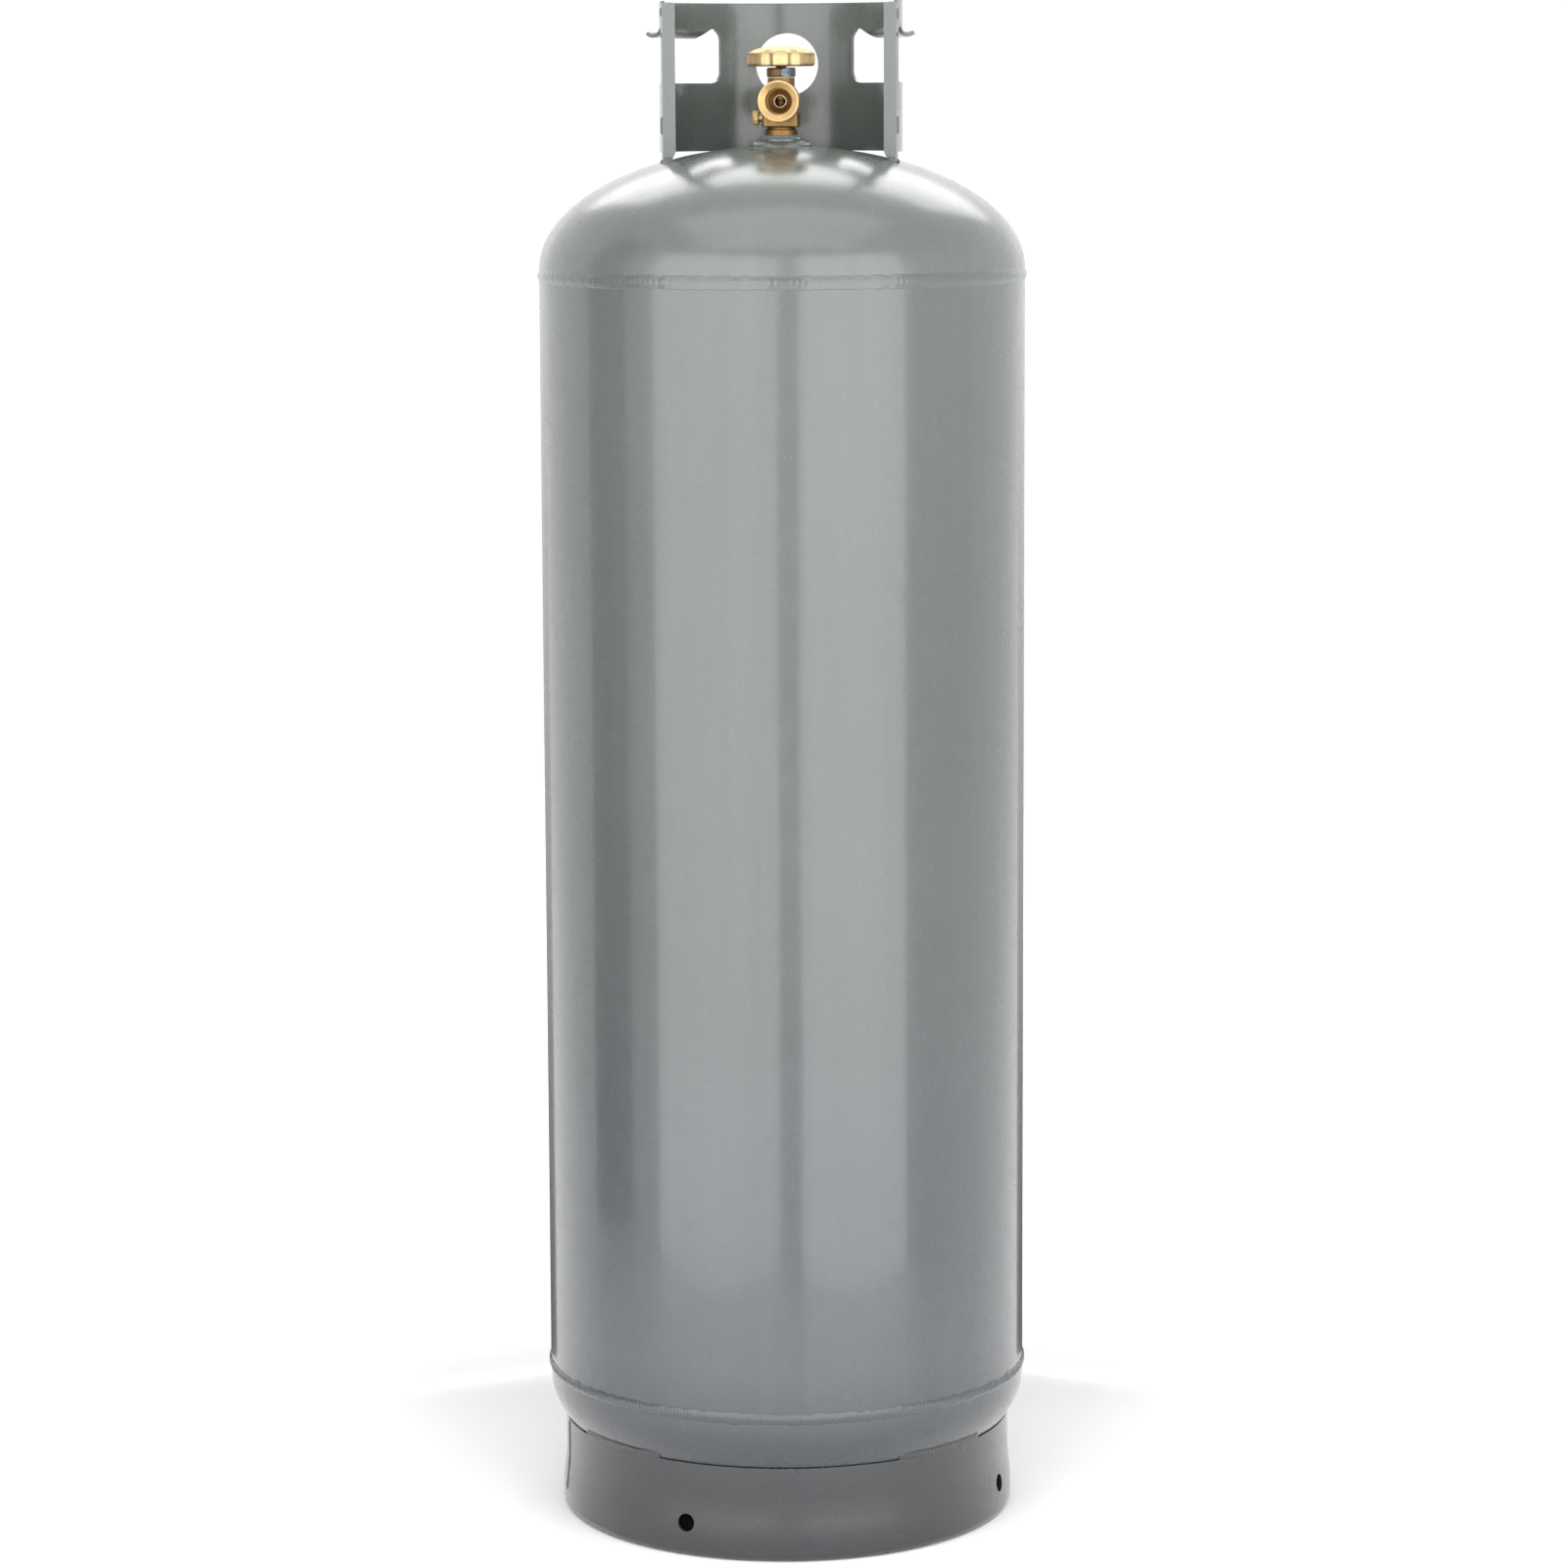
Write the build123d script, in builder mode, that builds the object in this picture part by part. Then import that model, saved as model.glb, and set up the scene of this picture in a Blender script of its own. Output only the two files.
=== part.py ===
from build123d import *

import os
from math import cos, radians, sin, sqrt

# Upright propane cylinder with foot ring, valve collar and brass outlet valve.
# Millimetres. The origin is the centre of the foot ring where it meets the floor, +Z up.
# The valve outlet faces -Y. Azimuths run from the front (-Y) toward +X.

# pressure vessel
SHELL_R = 188.5
WALL = 3.0
HEAD_DEPTH = SHELL_R / 2
BOTTOM_WELD_Z = 116.0
BOTTOM_TANGENT_Z = 108.0
TOP_WELD_Z = 977.5
TOP_TANGENT_Z = 982.0
APEX_Z = TOP_TANGENT_Z + HEAD_DEPTH
WELD_PREP = 1.5
GIRTH_BEAD_HALF = 4.2
GIRTH_BEAD_PROUD = 1.7
SEAM_BEAD_HALF = 4.0
SEAM_BEAD_PROUD = 1.2

# foot ring
FOOT_R = 176.5
FOOT_FLARE = 2.5
FOOT_WALL = 3.0
FOOT_TOP_Z = 73.5
FOOT_CURL_R = 6.0
FOOT_LAND_INNER_R = 169.0
VENT_R = 7.0
VENT_Z = 26.5
VENT_AZIMUTHS = (-21.7, 74.5, 158.3, 254.5)
FOOT_WELD_CENTRES = (-43, 47, 137, 227)
FOOT_WELD_SPAN = 28
FOOT_SEAM_AZIMUTH = -74

# valve boss in the top head
BOSS_R = 16.15
BOSS_BOTTOM_Z = 1062.0
BOSS_TOP_Z = 1082.3
BOSS_WELD_R = 24.5
THREAD_GAP = 0.05

# collar
COLLAR_R = 94.0
COLLAR_WALL = 3.0
COLLAR_BOTTOM_Z = 1071.5
COLLAR_TOP_Z = 1187.0
COLLAR_END = 75
COLLAR_TURN = 1.2
POST_WIDTH = 10.0
POST_THICKNESS = 4.0
POST_TOP_Z = 1184.8
WINDOW_START = 76.6
WINDOW_END = 145.4
WINDOW_BOTTOM_Z = 1124.5
WINDOW_TOP_Z = 1166.5
WINDOW_REAR_CORNER_R = 9.0
WINDOW_FRONT_CORNER_R = 2.5
GRIP_START = 82
GRIP_END = 139.5
REAR_WINDOW_R = 24.5
REAR_WINDOW_Z = 1139.0
REAR_LEG_HALF_SPAN = 20

# brass valve
OUTLET_Z = 1110.3
OUTLET_R = 15.875
OUTLET_FACE_Y = -32.0
OUTLET_THREAD_R = 10.65
OUTLET_THREAD_END_Y = -14.0
SEAT_RING_Y = -8.6
SEAT_RING_R = 5.2
SEAT_RING_BORE_R = 3.9
SHANK_BOTTOM_Z = 1060.0
SHANK_TOP_Z = 1083.6
SHANK_BOTTOM_R = 12.6
SHANK_TOP_R = 13.35
BAND_R = 12.5
BAND_TOP_Z = 1088.2
GROOVE_R = 10.8
BLOCK_BOTTOM_Z = 1090.6
BLOCK_TOP_Z = 1101.0
BARREL_R = 13.2
BARREL_TOP_Z = 1119.5
NECK_R = 10.4
BODY_TOP_Z = 1128.2
CHAMBER_R = 6.6
SEAT_Z = 1101.5
BONNET_THREAD_R = 8.0
BONNET_FOOT_Z = 1112.0
GAS_BORE_X = 2.6
GAS_BORE_R = 4.4

# bonnet, stem and spindle
GASKET_THICKNESS = 0.6
BONNET_R = 11.15
BONNET_TOP_Z = 1136.0
SPINDLE_CAVITY_R = 6.0
SPINDLE_CAVITY_TOP_Z = 1121.0
STEM_R = 4.0
RUNNING_GAP = 0.06
RING_HEIGHTS = (1125.5, 1131.5)
RING_SECTION_R = 0.9
STEM_SHOULDER_R = 5.6
TANG_WIDTH = 6.0
TANG_THICKNESS = 2.0
TANG_BOTTOM_Z = 1112.2
STEM_SQUARE = 5.2
STEM_TOP_Z = 1147.0
SPINDLE_R = SPINDLE_CAVITY_R - RUNNING_GAP
SPINDLE_BOTTOM_Z = 1105.4
SPINDLE_TOP_Z = 1115.4
SPINDLE_SLOT_Z = 1108.9
HOLDER_R = 5.2
HOLDER_BOTTOM_Z = 1102.4
SEAT_DISC_R = 4.4
LOCK_AZIMUTH = 29
LOCK_Z = 1132.1
LOCK_PIN_R = 1.9

# handwheel
WHEEL_R = 26.25
WHEEL_BOTTOM_Z = 1137.1
WHEEL_RIM_TOP_Z = 1147.6
WHEEL_CROWN_Z = 1152.7
WHEEL_CROWN_R = 10.5
WHEEL_TURN = 3
SCALLOP_R = 7.2
SCALLOP_DEPTH = 1.85
WHEEL_SCREW_R = 1.9

# bleeder and dip tube
BLEEDER_Z = 1097.5
BLEEDER_R = 3.0
BLEEDER_HEAD_R = 5.7
BLEEDER_HEAD_START_X = -17.4
BLEEDER_HEAD_LENGTH = 4.7
BLEEDER_SEAT_X = -10.0
KNURL_COUNT = 24
DIP_TUBE_X = -7.7
DIP_TUBE_R = 3.0
DIP_TUBE_WALL = 0.8
DIP_TUBE_TOP_Z = 1068.0
DIP_TUBE_BOTTOM_Z = 765.0

# relief valve
RELIEF_Z = OUTLET_Z
RELIEF_BOSS_R = 12.5
RELIEF_END_Y = 31.0
RELIEF_BORE_R = 8.5
RELIEF_SEAT_Y = 16.0
RELIEF_NOZZLE_R = 3.0
RELIEF_DISC_R = 5.5
RELIEF_POPPET_R = 8.1
RELIEF_STEM_R = 2.2
RETAINER_START_Y = 27.0
RETAINER_END_Y = 29.6
SPRING_R = 5.2
SPRING_WIRE_R = 0.5


def outward(azimuth):
    """Unit vector away from the axis at an azimuth."""
    return Vector(sin(radians(azimuth)), -cos(radians(azimuth)), 0)


def section_plane(azimuth):
    """Upright plane through the axis: local x is the radius, local y the height."""
    return Plane(
        origin=(0, 0, 0),
        x_dir=outward(azimuth),
        z_dir=(-cos(radians(azimuth)), -sin(radians(azimuth)), 0),
    )


def facing_plane(azimuth, radius, height):
    """Upright plane square to a radius, facing outward."""
    centre = outward(azimuth) * radius
    return Plane(
        origin=(centre.X, centre.Y, height),
        x_dir=(cos(radians(azimuth)), sin(radians(azimuth)), 0),
        z_dir=outward(azimuth),
    )


def along_y(y, height=OUTLET_Z):
    """Upright plane at a Y station that faces the front; local x is +X, local y is +Z."""
    return Plane(origin=(0, y, height), x_dir=(1, 0, 0), z_dir=(0, -1, 0))


def along_x(x, height=BLEEDER_Z):
    """Upright plane at an X station that faces -X; local x is -Y, local y is +Z."""
    return Plane(origin=(x, 0, height), x_dir=(0, -1, 0), z_dir=(-1, 0, 0))


def surface_z(radius):
    """Height of the outside of the top head at a radius."""
    return TOP_TANGENT_Z + HEAD_DEPTH * sqrt(1 - (radius / SHELL_R) ** 2)


def ellipsoid_cut(tangent_z):
    """Take the space inside a head's outer surface away from the part in hand."""
    with BuildSketch(Plane.XZ) as section:
        with Locations((0, tangent_z)):
            Ellipse(SHELL_R, HEAD_DEPTH)
            Rectangle(SHELL_R, 2 * HEAD_DEPTH, align=(Align.MIN, Align.CENTER), mode=Mode.INTERSECT)
    revolve(section.sketch, axis=Axis.Z, mode=Mode.SUBTRACT)


def head_section(tangent_z, weld_z, side):
    """Section of an elliptical head with its straight flange."""
    with BuildSketch(Plane.XZ) as section:
        with Locations((0, tangent_z)):
            Ellipse(SHELL_R, HEAD_DEPTH)
            Ellipse(SHELL_R - WALL, HEAD_DEPTH - WALL, mode=Mode.SUBTRACT)
            Rectangle(SHELL_R, HEAD_DEPTH, align=(Align.MIN, side), mode=Mode.INTERSECT)
        tube_section(SHELL_R, SHELL_R - WALL, tangent_z, weld_z)
    return section.sketch


def girth_weld_section(weld_z):
    """V-groove root and convex cap of a girth weld."""
    low = (SHELL_R, weld_z - GIRTH_BEAD_HALF)
    high = (SHELL_R, weld_z + GIRTH_BEAD_HALF)
    with BuildSketch(Plane.XZ) as section:
        with BuildLine():
            Polyline(
                low,
                (SHELL_R, weld_z - WELD_PREP),
                (SHELL_R - WELD_PREP, weld_z),
                (SHELL_R, weld_z + WELD_PREP),
                high,
            )
            ThreePointArc(high, (SHELL_R + GIRTH_BEAD_PROUD, weld_z), low)
        make_face()
    return section.sketch


def tube_section(outer_r, inner_r, low, high, mode=Mode.ADD):
    """Rectangle between two radii and two heights."""
    with Locations(((outer_r + inner_r) / 2, (low + high) / 2)):
        Rectangle(outer_r - inner_r, abs(high - low), mode=mode)


def post_section(azimuth):
    """Outline of a collar post, tapered toward its foot."""
    inner_r = COLLAR_R - POST_WIDTH
    with BuildSketch(section_plane(azimuth)) as section:
        with BuildLine():
            Polyline(
                (inner_r, POST_TOP_Z),
                (COLLAR_R, POST_TOP_Z),
                (COLLAR_R, COLLAR_BOTTOM_Z - 20),
                (COLLAR_R - 5, COLLAR_BOTTOM_Z - 20),
                (COLLAR_R - 5, COLLAR_BOTTOM_Z - 10),
                (inner_r, COLLAR_BOTTOM_Z),
                close=True,
            )
        make_face()
    return section.sketch


def lip_point(out, up):
    """Point on a hand hole lip, from the outer top edge of its window."""
    return (COLLAR_R + out, WINDOW_TOP_Z + up)


def finish(builder, label):
    """Name a finished sub-part and write it out."""
    builder.part.label = label
    export_step(builder.part, f"parts/{label}.step")


os.makedirs("parts", exist_ok=True)

# ---------------------------------------------------------------- pressure vessel

with BuildPart() as top_head:
    revolve(head_section(TOP_TANGENT_Z, TOP_WELD_Z, Align.MIN), axis=Axis.Z)
    chamfer(top_head.edges().group_by(Axis.Z)[0].sort_by(SortBy.LENGTH)[-1], WELD_PREP)
    with BuildSketch(Plane.XY.offset(APEX_Z - 10)):
        Circle(BOSS_R)
    extrude(amount=20, mode=Mode.SUBTRACT)
finish(top_head, "top_head")

with BuildPart() as shell:
    with BuildSketch(Plane.XY.offset(BOTTOM_WELD_Z)):
        Circle(SHELL_R)
        Circle(SHELL_R - WALL, mode=Mode.SUBTRACT)
    extrude(amount=TOP_WELD_Z - BOTTOM_WELD_Z)
    chamfer(shell.edges().filter_by(GeomType.CIRCLE).sort_by(SortBy.RADIUS)[-2:], WELD_PREP)
finish(shell, "shell")

with BuildPart() as bottom_head:
    revolve(head_section(BOTTOM_TANGENT_Z, BOTTOM_WELD_Z, Align.MAX), axis=Axis.Z)
    chamfer(bottom_head.edges().group_by(Axis.Z)[-1].sort_by(SortBy.LENGTH)[-1], WELD_PREP)
finish(bottom_head, "bottom_head")

with BuildPart() as top_girth_weld:
    revolve(girth_weld_section(TOP_WELD_Z), axis=Axis.Z)
finish(top_girth_weld, "top_girth_weld")

with BuildPart() as bottom_girth_weld:
    revolve(girth_weld_section(BOTTOM_WELD_Z), axis=Axis.Z)
finish(bottom_girth_weld, "bottom_girth_weld")

with BuildPart() as shell_seam_weld:
    seam_edge_y = sqrt(SHELL_R**2 - SEAM_BEAD_HALF**2)
    with BuildSketch(Plane.XY.offset(BOTTOM_WELD_Z + GIRTH_BEAD_HALF)):
        with BuildLine():
            ThreePointArc((SEAM_BEAD_HALF, seam_edge_y), (0, SHELL_R), (-SEAM_BEAD_HALF, seam_edge_y))
            ThreePointArc(
                (-SEAM_BEAD_HALF, seam_edge_y),
                (0, SHELL_R + SEAM_BEAD_PROUD),
                (SEAM_BEAD_HALF, seam_edge_y),
            )
        make_face()
    extrude(amount=TOP_WELD_Z - BOTTOM_WELD_Z - 2 * GIRTH_BEAD_HALF)
finish(shell_seam_weld, "shell_seam_weld")

# ---------------------------------------------------------------- foot ring


def foot_wall_line(radius, curl_r):
    """One face of the flared foot ring wall, from the top edge to the curled toe."""
    toe_r = FOOT_R + FOOT_FLARE - FOOT_CURL_R
    toe_z = FOOT_CURL_R - curl_r
    Line((radius, FOOT_TOP_Z), (radius, 48))
    Spline((radius, 48), (radius + FOOT_FLARE, 14), tangents=((0, -1), (0, -1)))
    Line((radius + FOOT_FLARE, 14), (radius + FOOT_FLARE, FOOT_CURL_R))
    RadiusArc((radius + FOOT_FLARE, FOOT_CURL_R), (toe_r, toe_z), curl_r)
    Line((toe_r, toe_z), (FOOT_LAND_INNER_R, toe_z))


with BuildPart() as foot_ring:
    with BuildSketch(Plane.XZ):
        with BuildLine():
            foot_wall_line(FOOT_R, FOOT_CURL_R)
            foot_wall_line(FOOT_R - FOOT_WALL, FOOT_CURL_R - FOOT_WALL)
            Line((FOOT_R, FOOT_TOP_Z), (FOOT_R - FOOT_WALL, FOOT_TOP_Z))
            Line((FOOT_LAND_INNER_R, 0), (FOOT_LAND_INNER_R, FOOT_WALL))
        make_face()
    revolve(axis=Axis.Z)
    for azimuth in VENT_AZIMUTHS:
        with BuildSketch(facing_plane(azimuth, FOOT_R - 10, VENT_Z)):
            Circle(VENT_R)
        extrude(amount=20, mode=Mode.SUBTRACT)
    ellipsoid_cut(BOTTOM_TANGENT_Z)
finish(foot_ring, "foot_ring")

with BuildPart() as foot_ring_welds:
    for centre in FOOT_WELD_CENTRES:
        with BuildSketch(section_plane(centre - FOOT_WELD_SPAN / 2)):
            with BuildLine():
                Polyline((FOOT_R, FOOT_TOP_Z), (173, FOOT_TOP_Z), (173, 80.5), (180.4, 80.5))
                ThreePointArc((180.4, 80.5), (180.6, 75.6), (FOOT_R, FOOT_TOP_Z))
            make_face()
        revolve(axis=Axis.Z, revolution_arc=FOOT_WELD_SPAN)
    ellipsoid_cut(BOTTOM_TANGENT_Z)
finish(foot_ring_welds, "foot_ring_welds")

with BuildPart() as foot_ring_seam_weld:
    with BuildSketch(section_plane(FOOT_SEAM_AZIMUTH - 1.2)):
        with BuildLine():
            Spline(
                (FOOT_R, 48),
                (FOOT_R + FOOT_FLARE, 14),
                tangents=((0, -1), (0, -1)),
            )
            Line((FOOT_R, 48), (FOOT_R, 72))
            Polyline(
                (FOOT_R, 72),
                (FOOT_R + 1.1, 70.5),
                (FOOT_R + 1.1, 48),
                (FOOT_R + FOOT_FLARE + 1.0, 16),
                (FOOT_R + FOOT_FLARE, 14),
            )
        make_face()
    revolve(axis=Axis.Z, revolution_arc=2.4)
finish(foot_ring_seam_weld, "foot_ring_seam_weld")

# ---------------------------------------------------------------- valve boss

with BuildPart() as valve_boss:
    with BuildSketch(Plane.XZ):
        with BuildLine():
            Polyline(
                (SHANK_BOTTOM_R + 0.07 + THREAD_GAP, BOSS_BOTTOM_Z),
                (BOSS_R, BOSS_BOTTOM_Z),
                (BOSS_R, BOSS_TOP_Z - 0.8),
                (BOSS_R - 0.8, BOSS_TOP_Z),
                (SHANK_TOP_R + THREAD_GAP, BOSS_TOP_Z),
                close=True,
            )
        make_face()
    revolve(axis=Axis.Z)
finish(valve_boss, "valve_boss")

with BuildPart() as boss_weld:
    with BuildSketch(Plane.XZ):
        with BuildLine():
            Polyline(
                (BOSS_R, BOSS_TOP_Z - 2.2),
                (BOSS_R, surface_z(BOSS_WELD_R) - 0.2),
                (BOSS_WELD_R, surface_z(BOSS_WELD_R) - 0.2),
                (BOSS_WELD_R, surface_z(BOSS_WELD_R) + 0.6),
            )
            ThreePointArc(
                (BOSS_WELD_R, surface_z(BOSS_WELD_R) + 0.6),
                (21.6, 1078.6),
                (BOSS_R, BOSS_TOP_Z - 2.2),
            )
        make_face()
    revolve(axis=Axis.Z)
    ellipsoid_cut(TOP_TANGENT_Z)
finish(boss_weld, "boss_weld")

# ---------------------------------------------------------------- collar

with BuildPart() as collar_plate:
    with BuildSketch(section_plane(COLLAR_TURN + COLLAR_END)):
        tube_section(COLLAR_R, COLLAR_R - COLLAR_WALL, COLLAR_BOTTOM_Z, COLLAR_TOP_Z)
    revolve(axis=Axis.Z, revolution_arc=360 - 2 * COLLAR_END)
    for start in (WINDOW_START, 360 - WINDOW_END):
        with BuildSketch(section_plane(COLLAR_TURN + start)):
            tube_section(COLLAR_R + 2, COLLAR_R - COLLAR_WALL - 2, WINDOW_BOTTOM_Z, WINDOW_TOP_Z)
        revolve(axis=Axis.Z, revolution_arc=WINDOW_END - WINDOW_START, mode=Mode.SUBTRACT)
    window_corners = (
        collar_plate.edges()
        .filter_by(GeomType.LINE)
        .filter_by(lambda e: WINDOW_BOTTOM_Z - 1 < e.center().Z < WINDOW_TOP_Z + 1)
        .filter_by(lambda e: abs(e.length - COLLAR_WALL) < 0.01)
    )
    fillet(window_corners.filter_by(lambda e: e.center().Y > 0), WINDOW_REAR_CORNER_R)
    front_corners = (
        collar_plate.edges()
        .filter_by(GeomType.LINE)
        .filter_by(lambda e: WINDOW_BOTTOM_Z - 1 < e.center().Z < WINDOW_TOP_Z + 1 and e.center().Y < 0)
        .filter_by(lambda e: abs(e.length - COLLAR_WALL) < 0.01)
    )
    fillet(front_corners, WINDOW_FRONT_CORNER_R)
    with BuildSketch(facing_plane(COLLAR_TURN + 180, COLLAR_R - 15, REAR_WINDOW_Z)):
        Circle(REAR_WINDOW_R)
    extrude(amount=30, mode=Mode.SUBTRACT)
    rim = collar_plate.edges().group_by(Axis.Z)[-1].filter_by(GeomType.CIRCLE)
    fillet(rim, 1.0)
    for start in (GRIP_START, 360 - GRIP_END):
        with BuildSketch(section_plane(COLLAR_TURN + start)):
            with BuildLine():
                ThreePointArc(lip_point(0, 0), lip_point(1.35, -3.05), lip_point(4.6, -4.4))
                ThreePointArc(lip_point(4.6, -4.4), lip_point(6.9, -4.0), lip_point(8.8, -2.6))
                Line(lip_point(8.8, -2.6), lip_point(10.4, -4.9))
                ThreePointArc(lip_point(10.4, -4.9), lip_point(7.8, -6.8), lip_point(4.6, -7.4))
                ThreePointArc(lip_point(4.6, -7.4), lip_point(-0.77, -5.17), lip_point(-COLLAR_WALL, 0))
                Line(lip_point(-COLLAR_WALL, 0), lip_point(0, 0))
            make_face()
        revolve(axis=Axis.Z, revolution_arc=GRIP_END - GRIP_START)
    for side in (-1, 1):
        with BuildSketch(facing_plane(COLLAR_TURN + side * (GRIP_END - 4), COLLAR_R - 6, WINDOW_TOP_Z)):
            with BuildLine():
                Polyline(
                    (side * 6.5, 0),
                    (side * -7.5, -8.5),
                    (side * 12, -8.5),
                    (side * 12, 0),
                    close=True,
                )
            make_face()
        extrude(amount=24, mode=Mode.SUBTRACT)
    with BuildSketch(section_plane(COLLAR_TURN + 180 - REAR_LEG_HALF_SPAN)):
        tube_section(COLLAR_R, COLLAR_R - COLLAR_WALL, COLLAR_BOTTOM_Z - 14, COLLAR_BOTTOM_Z)
    revolve(axis=Axis.Z, revolution_arc=2 * REAR_LEG_HALF_SPAN)
    ellipsoid_cut(TOP_TANGENT_Z)
finish(collar_plate, "collar_plate")

with BuildPart() as left_collar_post:
    extrude(post_section(COLLAR_TURN - COLLAR_END), amount=-POST_THICKNESS)
    ellipsoid_cut(TOP_TANGENT_Z)
finish(left_collar_post, "left_collar_post")

with BuildPart() as right_collar_post:
    extrude(post_section(COLLAR_TURN + COLLAR_END), amount=POST_THICKNESS)
    ellipsoid_cut(TOP_TANGENT_Z)
finish(right_collar_post, "right_collar_post")

with BuildPart() as collar_leg_welds:
    foot_z = surface_z(COLLAR_R)
    for azimuth, front in ((-COLLAR_END, 1), (COLLAR_END, -1)):
        with BuildSketch(facing_plane(COLLAR_TURN + azimuth, COLLAR_R - 6.5, foot_z)):
            for face_x, reach in ((front * POST_THICKNESS, front * 5), (0, -front * 5)):
                with BuildLine():
                    Polyline((face_x, 4.5), (face_x + reach, -5), (face_x, -5), close=True)
                make_face()
        extrude(amount=7.5)
    with BuildSketch(section_plane(COLLAR_TURN + 180 - REAR_LEG_HALF_SPAN + 1)):
        for face_r, reach in ((COLLAR_R, 5), (COLLAR_R - COLLAR_WALL, -5)):
            with BuildLine():
                Polyline(
                    (face_r, foot_z + 5),
                    (face_r + reach, foot_z - 5),
                    (face_r, foot_z - 5),
                    close=True,
                )
            make_face()
    revolve(axis=Axis.Z, revolution_arc=2 * REAR_LEG_HALF_SPAN - 2)
    ellipsoid_cut(TOP_TANGENT_Z)
finish(collar_leg_welds, "collar_leg_welds")

with BuildPart() as collar_post_welds:
    for centre, low, high in (
        (-COLLAR_END, 1175, 1182),
        (-COLLAR_END, 1085, 1099),
        (COLLAR_END, 1172, 1181),
        (COLLAR_END, 1085, 1099),
    ):
        with BuildSketch(section_plane(COLLAR_TURN + centre - 1.4)):
            with BuildLine():
                Line((COLLAR_R + 0.06, low), (COLLAR_R + 0.06, high))
                ThreePointArc(
                    (COLLAR_R + 0.06, high),
                    (COLLAR_R + 1.3, (low + high) / 2),
                    (COLLAR_R + 0.06, low),
                )
            make_face()
        revolve(axis=Axis.Z, revolution_arc=2.8)
finish(collar_post_welds, "collar_post_welds")

# ---------------------------------------------------------------- valve body

with BuildPart() as thread_sealant:
    with BuildSketch(Plane.XZ):
        with BuildLine():
            Polyline(
                (BAND_R, SHANK_TOP_Z + 0.6),
                (BAND_R, SHANK_TOP_Z),
                (SHANK_TOP_R, SHANK_TOP_Z),
                (SHANK_TOP_R, BOSS_TOP_Z),
                (SHANK_TOP_R + 1.3, BOSS_TOP_Z),
            )
            ThreePointArc(
                (SHANK_TOP_R + 1.3, BOSS_TOP_Z),
                (SHANK_TOP_R + 1.0, BOSS_TOP_Z + 1.4),
                (BAND_R, SHANK_TOP_Z + 0.6),
            )
        make_face()
    revolve(axis=Axis.Z)
finish(thread_sealant, "thread_sealant")

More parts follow.
